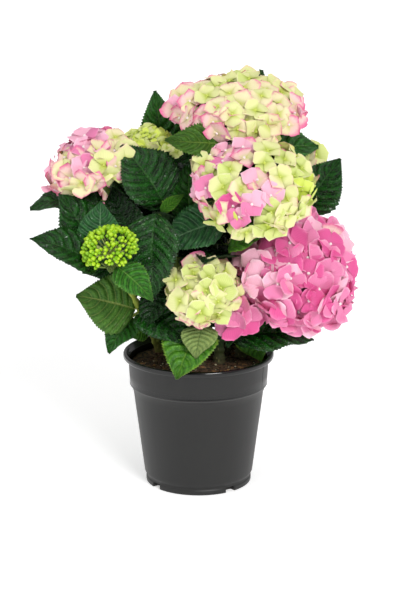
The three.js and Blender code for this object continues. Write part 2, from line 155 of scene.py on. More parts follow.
def maths(operation: str, reflected: bool = False) -> Callable:
    """Makes a method that puts a Math node on a wire and its other operands.

    Args:
        operation: The Math node's operation.
        reflected: Whether the wire comes last.

    Returns:
        The method.
    """

    def method(self: "Wire", *others: "Wire | float") -> "Wire":
        """Adds the Math node."""
        operands = dict(enumerate((*others, self) if reflected else (self, *others)))
        return self.graph.wire("ShaderNodeMath", operands, operation=operation)

    return method


class Wire:
    """A shader socket on which Python's operators add Math nodes."""

    __add__, __radd__ = maths("ADD"), maths("ADD", True)
    __sub__, __rsub__ = maths("SUBTRACT"), maths("SUBTRACT", True)
    __mul__, __rmul__ = maths("MULTIPLY"), maths("MULTIPLY", True)
    __truediv__, __pow__ = maths("DIVIDE"), maths("POWER")
    __abs__, __gt__ = maths("ABSOLUTE"), maths("GREATER_THAN")
    fraction, most = maths("FRACT"), maths("MAXIMUM")

    def __init__(self, graph: "Graph", socket: Socket) -> None:
        """Wraps an output socket of a graph."""
        self.graph = graph
        self.socket = socket

    def ease(self, low: float, high: float) -> "Wire":
        """Gives a smooth step from 0 at low to 1 at high."""
        inputs = {"Value": self, "From Min": low, "From Max": high}
        return self.graph.wire("ShaderNodeMapRange", inputs, interpolation_type="SMOOTHSTEP")


Value = "Wire | float | Colour | Socket"


class Graph:
    """The shader of one material, or of the room."""

    def __init__(self, name: str, room: bool = False) -> None:
        """Makes a material, or a room, with an empty shader.

        Args:
            name: The material's name.
            room: Whether it is the room that is shaded.
        """
        self.owner = bpy.data.worlds.new(name) if room else bpy.data.materials.new(name)
        self.owner.use_nodes = True
        self.tree = self.owner.node_tree
        self.tree.nodes.clear()

    def node(self, kind: str, inputs: dict | None = None, **settings: str) -> bpy.types.Node:
        """Adds a node, with its settings first and then its sockets.

        Args:
            kind: The node's type.
            inputs: Values or links by socket name or number.
            **settings: Attributes by name.

        Returns:
            The node.
        """
        made = self.tree.nodes.new(kind)
        for key, value in settings.items():
            setattr(made, key, value)
        for key, value in (inputs or {}).items():
            if isinstance(value, Wire):
                value = value.socket
            if isinstance(value, Socket):
                self.tree.links.new(value, made.inputs[key])
            else:
                made.inputs[key].default_value = value
        return made

    def wire(self, kind: str, inputs: dict, output: int | str = 0, **settings: str) -> Wire:
        """Adds a node, and gives the wire of one of its outputs."""
        return Wire(self, self.node(kind, inputs, **settings).outputs[output])

    def axes(self, vector: Value) -> tuple[Wire, ...]:
        """Splits a vector into its three values."""
        split = self.node("ShaderNodeSeparateXYZ", {0: vector})
        return tuple(Wire(self, output) for output in split.outputs)

    def blend(self, factor: Value, first: Value, second: Value) -> Socket:
        """Mixes two colours by the share of the second one."""
        inputs = {0: factor, 6: first, 7: second}
        return self.node("ShaderNodeMix", inputs, data_type="RGBA").outputs[2]

    def place(self, scale: Triple) -> Socket:
        """Gives the object's own coordinates, scaled along each axis."""
        own = self.node("ShaderNodeTexCoord").outputs["Object"]
        return self.node("ShaderNodeMapping", {"Vector": own, "Scale": scale}).outputs[0]

    def noise(self, vector: Value, scale: float, detail: float = 3.0, roughness: float = 0.55) -> Wire:
        """Gives cloudy noise from 0 to 1."""
        inputs = {"Vector": vector, "Scale": scale, "Detail": detail, "Roughness": roughness}
        return self.wire("ShaderNodeTexNoise", inputs)

    def cells(self, vector: Value, scale: float, feature: str = "F1") -> Wire:
        """Gives the distance to the middle, or to the edge, of scattered cells."""
        inputs = {"Vector": vector, "Scale": scale}
        return self.wire("ShaderNodeTexVoronoi", inputs, "Distance", feature=feature)

    def pair(self, first: Wire, second: Wire) -> Socket:
        """Joins two values into a vector."""
        return self.node("ShaderNodeCombineXYZ", {0: first, 1: second}).outputs[0]

    def bump(self, height: Wire, distance: float, strength: float = 1.0) -> Socket:
        """Gives the normal of a surface raised by a height, with the distance in millimetres."""
        inputs = {"Height": height, "Distance": distance * MM, "Strength": strength}
        return self.node("ShaderNodeBump", inputs).outputs[0]

    def surface(self, **inputs: Value) -> Material:
        """Ends the shader in a Principled surface.

        Args:
            **inputs: Socket values or links, with spaces in their names written as underscores.

        Returns:
            The material.
        """
        named = {key.replace("_", " "): value for key, value in inputs.items()}
        shader = self.node("ShaderNodeBsdfPrincipled", named)
        self.node("ShaderNodeOutputMaterial", {"Surface": shader.outputs[0]})
        return self.owner


@dataclass(frozen=True)
class Atlas:
    """A UV square that is split into cells, one for each finish of a joined piece."""

    columns: int
    rows: int
    margin: float = 0.04

    def spread(self, cell: int | Array, places: Array) -> Array:
        """Moves places from a unit square into a cell.

        Args:
            cell: The cell's number, or one for each place.
            places: Points of the unit square, one on each row.

        Returns:
            The UV points.
        """
        corner = np.stack(np.broadcast_arrays(cell % self.columns, cell // self.columns), axis=-1)
        inner = self.margin + (1 - 2 * self.margin) * places
        return (corner + inner) / (self.columns, self.rows)

    def local(self, graph: Graph, cell: int) -> tuple[Wire, Wire]:
        """Gives a cell's own two coordinates in a shader.

        Args:
            graph: The shader.
            cell: The cell's number.

        Returns:
            The two coordinates, each from 0 to 1.
        """
        across, up, _ = graph.axes(graph.node("ShaderNodeUVMap", uv_map=UV_MAP).outputs[0])
        across = across * self.columns - float(cell % self.columns)
        up = up * self.rows - float(cell // self.columns)
        inner = 1 - 2 * self.margin
        return (across - self.margin) / inner, (up - self.margin) / inner


LEAF_ATLAS = Atlas(3, 3)
PETAL_ATLAS = Atlas(4, 3)
STALK_ATLAS = Atlas(3, 2)

# A blade's run of veins, and where its two sides lie in its cell
VEIN_PAIRS = 8
VEIN_SLANT = 0.14
VEIN_CURVE = 0.10
SIDE_FROM = 0.02
SIDE_HALF = 0.23
LOWER_FROM = 0.5


class CellFinish:
    """A finish that is laid on one cell of an atlas."""

    def material(self, name: str, atlas: Atlas, cell: int) -> Material:
        """Makes the finish's material on a cell of its piece's atlas."""
        graph = Graph(name)
        return self.paint(graph, *atlas.local(graph, cell))


class Toned(Enum):
    """Finishes that lie on the cells of an atlas, in their order."""

    @property
    def cell(self) -> int:
        """The finish's cell."""
        return list(type(self)).index(self)


def tone_materials(prefix: str, tones: type[Toned], atlas: Atlas) -> list[Material]:
    """Makes one material for each tone, on its cell of the atlas."""
    return [tone.value.material(f"{prefix}_{tone.name.lower()}", atlas, tone.cell) for tone in tones]


@dataclass(frozen=True)
class LeafFinish(CellFinish):
    """The finish of one kind of leaf: quilted between sunken veins, and paler below."""

    blade: str
    shade: str
    vein: str
    edge: str
    below: str
    roughness: float

    def paint(self, graph: Graph, along: Wire, up: Wire) -> Material:
        """Shades a leaf by its place along the blade and across its two sides.

        Args:
            graph: The shader.
            along: The place along the blade.
            up: The place across the upper side and then the lower one.

        Returns:
            The material.
        """
        lower = up > LOWER_FROM
        across = abs((up - SIDE_FROM - LOWER_FROM * lower) / SIDE_HALF - 1.0)
        phase = VEIN_PAIRS * (along - VEIN_SLANT * across - VEIN_CURVE * across * across)
        from_vein = abs((phase + 0.5).fraction() - 0.5)
        lateral = (1.0 - from_vein.ease(0.015, 0.1)) * (1.0 - across.ease(0.8, 1.0))
        midrib = 1.0 - across.ease(0.012, 0.055)
        veins = (lateral * 0.55).most(midrib)
        flat = graph.pair(along * 3.0, up * 4.4)
        mottle = graph.noise(flat, 3.1, 4.0)
        net = 1.0 - graph.cells(flat, 11.0, "DISTANCE_TO_EDGE").ease(0.02, 0.3)
        swell = from_vein.ease(0.04, 0.5)
        # Painted light and shade: the swells between the veins are lighter and the hollows beside them
        # darker, mixed with the leaf's own mottle.
        lit = mottle.ease(0.36, 0.62) * 0.45 + swell * 0.55
        green = graph.blend(lit, srgb(self.shade), srgb(self.blade))
        green = graph.blend(across.ease(0.9, 1.0) * 0.6, green, srgb(self.edge))
        # Painted shade: the fine net of grooves is darkened towards the shade colour.
        green = graph.blend(net * 0.45, green, srgb(self.shade))
        green = graph.blend(veins * (0.6 + 0.3 * lower), green, srgb(self.vein))
        green = graph.blend(lower * 0.75, green, srgb(self.below))
        gloss = self.roughness + 0.14 * graph.noise(flat, 9.0) + 0.2 * lower
        relief = graph.bump(swell * 0.7 - net * 0.6 - veins * 0.3, 1.5, 0.9)
        return graph.surface(Base_Color=green, Roughness=gloss, Normal=relief, Specular_IOR_Level=0.45)


class LeafTone(Toned):
    """The kinds of leaf, in the order of their cells."""

    DARK = LeafFinish("1b6410", "031c03", "2c5c1c", "1c5216", "54784a", 0.18)
    DEEP = LeafFinish("14500d", "021602", "205018", "164610", "44643a", 0.2)
    MID = LeafFinish("32801c", "0b3806", "528430", "38781c", "688c4e", 0.22)
    MOSS = LeafFinish("4c7c14", "2a520a", "7c9838", "5a8818", "688246", 0.42)
    YOUNG = LeafFinish("50a62a", "083806", "84ba50", "86c648", "88aa66", 0.26)
    BRIGHT = LeafFinish("5ea01c", "24600a", "7ca83a", "a4c838", "7fa056", 0.36)
    OLIVE = LeafFinish("5c8f2c", "325e17", "9caa58", "5f8034", "7a965a", 0.5)
    SAGE = LeafFinish("a8be6c", "74904b", "4c662c", "b0c274", "9aac78", 0.55)
    JADE = LeafFinish("428644", "0f3c20", "8cb888", "549850", "6c8c6a", 0.24)


@dataclass(frozen=True)
class PetalFinish(CellFinish):
    """The finish of one tone of sepal, from its centre through its body to its rim."""

    centre: str
    body: str
    rim: str
    vein: str
    rim_from: float = 0.98

    def paint(self, graph: Graph, out: Wire, side: Wire) -> Material:
        """Shades a sepal by its place out from the middle and from side to side.

        Args:
            graph: The shader.
            out: The place from the floret's middle outwards.
            side: The place from side to side.

        Returns:
            The material.
        """
        off = abs(side * 2.0 - 1.0)
        flat = graph.pair(out * 2.0, side * 3.0)
        cloud = graph.noise(flat, 2.6, 3.0)
        fan = (side * 11.0 + 0.35 * cloud).fraction()
        vein = (1.0 - abs(fan * 2.0 - 1.0).ease(0.0, 0.45)) * (1.0 - out.ease(0.75, 1.0))
        rim = (out + 0.3 * off * off + 0.4 * cloud).ease(self.rim_from, self.rim_from + 0.42)
        petal = graph.blend(out.ease(0.0, 0.5), srgb(self.centre), srgb(self.body))
        petal = graph.blend(rim, petal, srgb(self.rim))
        petal = graph.blend(vein * 0.28, petal, srgb(self.vein))
        gloss, relief = 0.5 + 0.15 * cloud, graph.bump(vein, 0.25, 0.5)
        return graph.surface(Base_Color=petal, Roughness=gloss, Normal=relief, Specular_IOR_Level=0.35)


class PetalTone(Toned):
    """The tones of sepal from green to deep pink, in order, and two for the shade inside a head."""

    LIME = PetalFinish("bcd23c", "dcec68", "ecf4a4", "b2ca44")
    PALE_GREEN = PetalFinish("a2b634", "d6e08a", "f4ecc4", "aabd52")
    CREAM = PetalFinish("b9c84a", "e4e5a2", "f4d4bc", "bcc868")
    BLUSH = PetalFinish("c8cd68", "efe4b8", "ee8cac", "d6ca88", 0.9)
    ROSE = PetalFinish("dfd89c", "f5cec6", "e6709e", "e09eac", 0.76)
    PALE_PINK = PetalFinish("f0b2c6", "f4b6cc", "fad6e2", "e28eb0")
    PINK = PetalFinish("e084ac", "e480ac", "f4b0cc", "d05c94")
    DEEP_PINK = PetalFinish("d86498", "dc5694", "ec84b2", "b83c7c")
    GREEN_SHADE = PetalFinish("4c661a", "6a8230", "8c9650", "44601a")
    CRIMSON_SHADE = PetalFinish("7c1c4a", "98305f", "b04c7a", "6c1640")


@dataclass(frozen=True)
class PlainFinish(CellFinish):
    """A finish of one colour with a faint mottle, for beads, stalks and small growth."""

    colour: str
    fleck: str
    roughness: float = 0.5
    mottle: float = 6.0

    def paint(self, graph: Graph, along: Wire, around: Wire) -> Material:
        """Shades a small part by its place along and around it.

        Args:
            graph: The shader.
            along: The place along the part.
            around: The place around it.

        Returns:
            The material.
        """
        mottle = graph.noise(graph.pair(along * 2.0, around), self.mottle, 4.0)
        colour = graph.blend(mottle.ease(0.4, 0.7), srgb(self.colour), srgb(self.fleck))
        relief = graph.bump(mottle, 0.2, 0.4)
        return graph.surface(Base_Color=colour, Roughness=self.roughness, Normal=relief)


# The cells of the pale and the green beads, after those of the sepals
BEAD_PALE, BEAD_GREEN = 10, 11
BEADS = {
    BEAD_PALE: ("bead_pale", PlainFinish("f4e0e4", "f8f0e4")),
    BEAD_GREEN: ("bead_green", PlainFinish("b9c93c", "dfe690")),
}


class StalkTone(Toned):
    """The finishes of stalks, in the order of their cells."""

    GREEN = PlainFinish("6f8c35", "93a64c")
    PALE = PlainFinish("a3b05e", "c1c784")
    # Dark green, for the front stem's shoot and for the painted shade ball inside cool heads.
    DARK = PlainFinish("2c4a1c", "46632a")
    CUT = PlainFinish("e9e6cf", "d8d2b0", 0.8)
    # Deep crimson, the painted shade of the ball inside warm heads.
    SHADE_CRIMSON = PlainFinish("8a2448", "a83a60", 0.7)
    GOLD = PlainFinish("93a53c", "b3bf5c")


class Bundle:
    """Many small shapes that are gathered into one mesh."""

    def __init__(self) -> None:
        """Starts an empty bundle."""
        self.points: list[Array] = []
        self.places: list[Array] = []
        self.corners: list[Array] = []
        self.sizes: list[Array] = []
        self.finishes: list[Array] = []
        self.count = 0

    def add(self, points: Array, places: Array, faces: Sequence[Array], finish: int) -> None:
        """Adds a shape.

        Args:
            points: Its vertices in millimetres, one on each row.
            places: The UV point of each vertex.
            faces: Arrays of faces, each with a row of vertex numbers for a face.
            finish: The number of its material.
        """
        for block in faces:
            block = np.asarray(block)
            self.corners.append(block.ravel() + self.count)
            self.sizes.append(np.full(len(block), block.shape[1]))
            self.finishes.append(np.full(len(block), finish))
        self.points.append(points.reshape(-1, 3))
        self.places.append(places.reshape(-1, 2))
        self.count += points.size // 3

    def add_tube(self, line: Array, radii: Array, sides: int, cell: int, flatten: float = 1.0) -> None:
        """Adds a closed tube on a cell of the stalk atlas, with the material of the same number."""
        points, places, faces = tube(line, radii, sides, flatten)
        self.add(points, STALK_ATLAS.spread(cell, places), faces, cell)

    def build(self, name: str, materials: Sequence[Material], angle: float = 60.0) -> Piece:
        """Makes the mesh's object.

        Args:
            name: The piece's name.
            materials: The materials by number.
            angle: The sharpest angle that is shaded smooth.

        Returns:
            The object.
        """
        points = np.concatenate(self.points) * MM
        corners = np.concatenate(self.corners)
        sizes = np.concatenate(self.sizes)
        mesh = bpy.data.meshes.new(name)
        mesh.vertices.add(len(points))
        mesh.vertices.foreach_set("co", points.astype(np.float32).ravel())
        mesh.loops.add(len(corners))
        mesh.loops.foreach_set("vertex_index", corners.astype(np.int32))
        mesh.polygons.add(len(sizes))
        starts = np.concatenate([[0], np.cumsum(sizes)[:-1]])
        mesh.polygons.foreach_set("loop_start", starts.astype(np.int32))
        mesh.polygons.foreach_set("material_index", np.concatenate(self.finishes).astype(np.int32))
        mesh.polygons.foreach_set("use_smooth", np.ones(len(sizes), dtype=bool))
        mesh.update(calc_edges=True)
        layer = mesh.uv_layers.new(name=UV_MAP)
        places = np.concatenate(self.places)[corners]
        layer.data.foreach_set("uv", places.astype(np.float32).ravel())
        for material in materials:
            mesh.materials.append(material)
        mesh.validate()
        made = bpy.data.objects.new(name, mesh)
        bpy.context.scene.collection.objects.link(made)
        if angle < UNSPLIT:
            only(made)
            bpy.ops.object.shade_smooth_by_angle(angle=math.radians(angle))
        return made


def only(piece: Piece) -> None:
    """Selects one object and makes it active.

    Args:
        piece: The object.
    """
    bpy.ops.object.select_all(action="DESELECT")
    piece.select_set(True)
    bpy.context.view_layer.objects.active = piece


def register(piece: Piece, slot: str, *nodes: str) -> None:
    """Tells the frame what a piece rides on, hides the nodes that it stands for, and logs its slot.

    Args:
        piece: The piece.
        slot: Its material slot in the record, which is only logged.
        *nodes: The nodes that it stands for.
    """
    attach(piece, BODY)
    if nodes:
        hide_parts(*nodes)
    faces = sum(len(face.vertices) - 2 for face in piece.data.polygons)
    LOG.info("%s: %d triangles, slot %s", piece.name, faces, slot)


def grid_faces(rows: int, columns: int, flipped: bool = False) -> Array:
    """Gives the quads of a grid of vertices that is stored row by row.

    Args:
        rows: The number of rows.
        columns: The number of vertices in a row.
        flipped: Whether the quads face the other way.

    Returns:
        The quads, one on each row.
    """
    first = (np.arange(rows - 1)[:, None] * columns + np.arange(columns - 1)).ravel()
    quads = np.stack([first, first + columns, first + columns + 1, first + 1], axis=1)
    return quads[:, ::-1] if flipped else quads


def ring_faces(rings: int, sides: int) -> Array:
    """Gives the quads between rings of vertices that are stored ring by ring."""
    start, ahead = (np.arange(rings - 1)[:, None] * sides + (np.arange(sides) + i) % sides for i in (0, 1))
    return np.stack([start, ahead, ahead + sides, start + sides], axis=-1).reshape(-1, 4)


def ball_faces(rings: int, sides: int, downward: bool = False) -> list[Array]:
    """Gives the faces of rings of vertices that two poles follow, the first ring's and the last ring's.

    Args:
        rings: The number of rings.
        sides: The number of vertices in a ring.
        downward: Whether the first ring is the top one.

    Returns:
        The quads between the rings, and the triangles at the two poles.
    """
    step, beyond = np.arange(sides), (np.arange(sides) + 1) % sides
    last = (rings - 1) * sides
    first_pole = np.stack([beyond, step, np.full(sides, rings * sides)], axis=1)
    last_pole = np.stack([last + step, last + beyond, np.full(sides, rings * sides + 1)], axis=1)
    faces = [ring_faces(rings, sides), first_pole, last_pole]
    return [np.roll(block[:, ::-1], 1, axis=1) for block in faces] if downward else faces


def tube(path: Array, radii: Array, sides: int, flatten: float = 1.0) -> tuple:
    """Makes a closed tube along a path.

    Args:
        path: The middle of each ring, one on each row.
        radii: The radius of each ring.
        sides: The number of sides.
        flatten: The share of its breadth that its depth is.

    Returns:
        The vertices, their places along and around the tube, and its faces.
    """
    ways = np.gradient(path, axis=0)
    ways /= np.linalg.norm(ways, axis=1)[:, None]
    side = np.cross(ways[0], (0.0, 0.0, 1.0) if abs(ways[0][2]) < 0.9 else (1.0, 0.0, 0.0))
    around = np.arange(sides) * 2 * math.pi / sides
    rings = []
    for middle, way, radius in zip(path, ways, radii):
        side = side - way * side.dot(way)
        side = side / np.linalg.norm(side)
        upper = np.cross(way, side) * flatten
        rings.append(middle + radius * (np.cos(around)[:, None] * side + np.sin(around)[:, None] * upper))
    count = len(path)
    caps = np.stack([np.arange(sides)[::-1], (count - 1) * sides + np.arange(sides)])
    along = np.repeat(np.linspace(0, 1, count), sides)
    turned = np.tile(np.abs(np.linspace(-1, 1, sides, endpoint=False)), count)
    return np.concatenate(rings), np.stack([along, turned], axis=1), [ring_faces(count, sides), caps]


def curved(start: Vector, middle: Vector, end: Vector, steps: int) -> Array:
    """Gives points along a bow from start to end that leans towards middle.

    Args:
        start: Its first point.
        middle: The point that it leans towards.
        end: Its last point.
        steps: The number of points.

    Returns:
        The points, one on each row.
    """
    share = np.linspace(0, 1, steps)[:, None]
    first = np.array(start) * (1 - share) ** 2
    second = np.array(middle) * 2 * share * (1 - share)
    return first + second + np.array(end) * share**2


def moved(place: Array, points: Array) -> Array:
    """Gives points, one on each row, moved by a frame."""
    return points @ place[:3, :3].T + place[:3, 3]


@dataclass(frozen=True)
class Leaf:
    """One leaf: its place on the stem, its pose and its blade."""

    at: float
    turn: float
    rise: float
    long: float
    roll: float = 0.0
    arch: float = 40.0
    fold: float = 16.0
    broad: float = 0.74
    stalk: Triple | None = None
    tone: LeafTone = LeafTone.DARK

    def petiole(self) -> Vector:
        """Gives the run from the stem to the base of the blade."""
        length, turn, rise = self.stalk or (self.long * PETIOLE_SHARE, self.turn, self.rise + PETIOLE_RISE)
        return heading(turn, rise) * length

    def frame(self, root: Vector) -> Matrix:
        """Gives the blade's frame: +X runs along it, and +Z is its upper side.

        Args:
            root: Where the petiole leaves the stem.

        Returns:
            The frame.
        """
        turned = Matrix.Rotation(math.radians(self.turn), 4, "Z")
        tipped = Matrix.Rotation(math.radians(-self.rise), 4, "Y")
        rolled = Matrix.Rotation(math.radians(self.roll), 4, "X")
        return Matrix.Translation(root + self.petiole()) @ turned @ tipped @ rolled


@dataclass(frozen=True)
class Blush:
    """How a head's florets are tinted, on the scale of tones from green to deep pink.

    Each spot is a place across and up the head, as shares of its radius, with its own warmth.
    """

    warmth: float
    rim: float = 0.0
    lean: Triple = (0.0, 0.0, 0.0)
    spread: float = 0.6
    spots: tuple[Triple, ...] = ()
    spot_size: float = 0.24


@dataclass(frozen=True)
class Head:
    """A domed flower head."""

    centre: Triple
    tilt: float
    toward: float
    radius: float
    height: float
    blush: Blush = Blush(2.0)
    floret: float = 19.0
    pitch: float = 23.5
    sharp: float = 0.85
    edge: float = 112.0
    ruffle: float = 1.0
    buds: bool = False
    strays: tuple[tuple[Triple, Pair], ...] = ()

    def frame(self) -> Matrix:
        """Gives the head's frame: its own +Z is the way it faces."""
        turn = Vector((0, 0, 1)).rotation_difference(heading(self.toward, 90 - self.tilt))
        return Matrix.Translation(Vector(self.centre)) @ turn.to_matrix().to_4x4()

    def base(self) -> Vector:
        """Gives the middle of the head's underside."""
        return self.frame() @ Vector((0, 0, -self.height * UNDERSIDE))

    def dome(self, angle: float, turn: float, share: float = 1.0) -> tuple[Vector, Vector]:
        """Gives a point on the dome, or inside it, and the outward normal.

        Args:
            angle: Degrees off the head's axis.
            turn: Degrees about the axis.
            share: The share of the dome's size.

        Returns:
            The point and the normal, in the head's frame.
        """
        across, up = math.sin(math.radians(angle)), math.cos(math.radians(angle))
        height = self.height if up > 0 else self.height * UNDERSIDE
        east, north = across * math.cos(math.radians(turn)), across * math.sin(math.radians(turn))
        point = Vector((self.radius * east, self.radius * north, height * up)) * share
        return point, Vector((east / self.radius, north / self.radius, up / height)).normalized()

    def spiral(self, pitch: float, share: float = 1.0) -> Iterator[Pair]:
        """Yields the angle off the axis and the turn of each place on the golden spiral.

        Args:
            pitch: How far apart the places are.
            share: The share of the dome's size.

        Yields:
            The angle and the turn, without the spread of the turn.
        """
        edge = math.cos(math.radians(self.edge))
        area = math.pi * self.radius * (self.radius + self.height) * (1 - edge) * share * share
        count = round(area / pitch**2)
        for i in range(count):
            yield math.degrees(math.acos(1 - (i + 0.5) / count * (1 - edge))), i * GOLDEN_TURN

    def holds(self, point: Vector, inverse: Matrix, share: float) -> bool:
        """Tells whether a point lies in the head, shrunk or grown to a share.

        Args:
            point: The point.
            inverse: The way into the head's frame.
            share: The share of the head's size.

        Returns:
            Whether it does.
        """
        x, y, z = inverse @ point
        height = self.height if z > 0 else self.height * UNDERSIDE
        return (x / self.radius) ** 2 + (y / self.radius) ** 2 + (z / height) ** 2 < share * share


@dataclass(frozen=True)
class Stem:
    """A stem from the soil to its head or its tip, with its leaves.

    Each stub is what is left of a cut petiole: its place on the stem, its turn, its rise and its length.
    """

    name: str
    foot: Pair
    knee: float
    girth: Pair
    leafy: float
    leaves: tuple[Leaf, ...]
    head: Head | None = None
    tip: Triple | None = None
    lean: Pair = (0.0, 0.0)
    tone: StalkTone = StalkTone.GREEN
    stubs: tuple[tuple[float, float, float, float], ...] = ()


class StemPath:
    """The bow of a stem, read by its share of length."""

    STEPS = 200

    def __init__(self, stem: Stem) -> None:
        """Works out the bow of a stem.

        Args:
            stem: The stem.
        """
        x, y = stem.foot
        self.start = Vector((x, y, SOIL_TOP))
        self.knee = Vector((x + stem.lean[0], y + stem.lean[1], stem.knee))
        self.end = Vector(stem.tip) if stem.tip else stem.head.base()
        self.girth = stem.girth
        points = curved(self.start, self.knee, self.end, self.STEPS + 1)
        steps = np.linalg.norm(np.diff(points, axis=0), axis=1)
        self.lengths = np.concatenate([[0.0], np.cumsum(steps)])
        self.length = float(self.lengths[-1])

    def _parameter(self, share: float) -> float:
        """Gives the bow's own parameter at a share of its length."""
        return float(np.interp(share * self.length, self.lengths, np.linspace(0, 1, self.STEPS + 1)))

    def at(self, share: float) -> Vector:
        """Gives the point at a share of the length."""
        t = self._parameter(share)
        return self.start * (1 - t) ** 2 + self.knee * (2 * t * (1 - t)) + self.end * t**2

    def way(self, share: float) -> Vector:
        """Gives the direction at a share of the length."""
        t = self._parameter(share)
        return ((self.knee - self.start) * (1 - t) + (self.end - self.knee) * t).normalized()

    def radius(self, share: float) -> float:
        """Gives the stem's radius at a share of its length."""
        flare = FLARE * math.exp(-share * self.length / FLARE_REACH)
        return lerp(self.girth[0], self.girth[1], share) + flare


DARK, DEEP, MID, MOSS, YOUNG, BRIGHT, OLIVE, SAGE, JADE = LeafTone

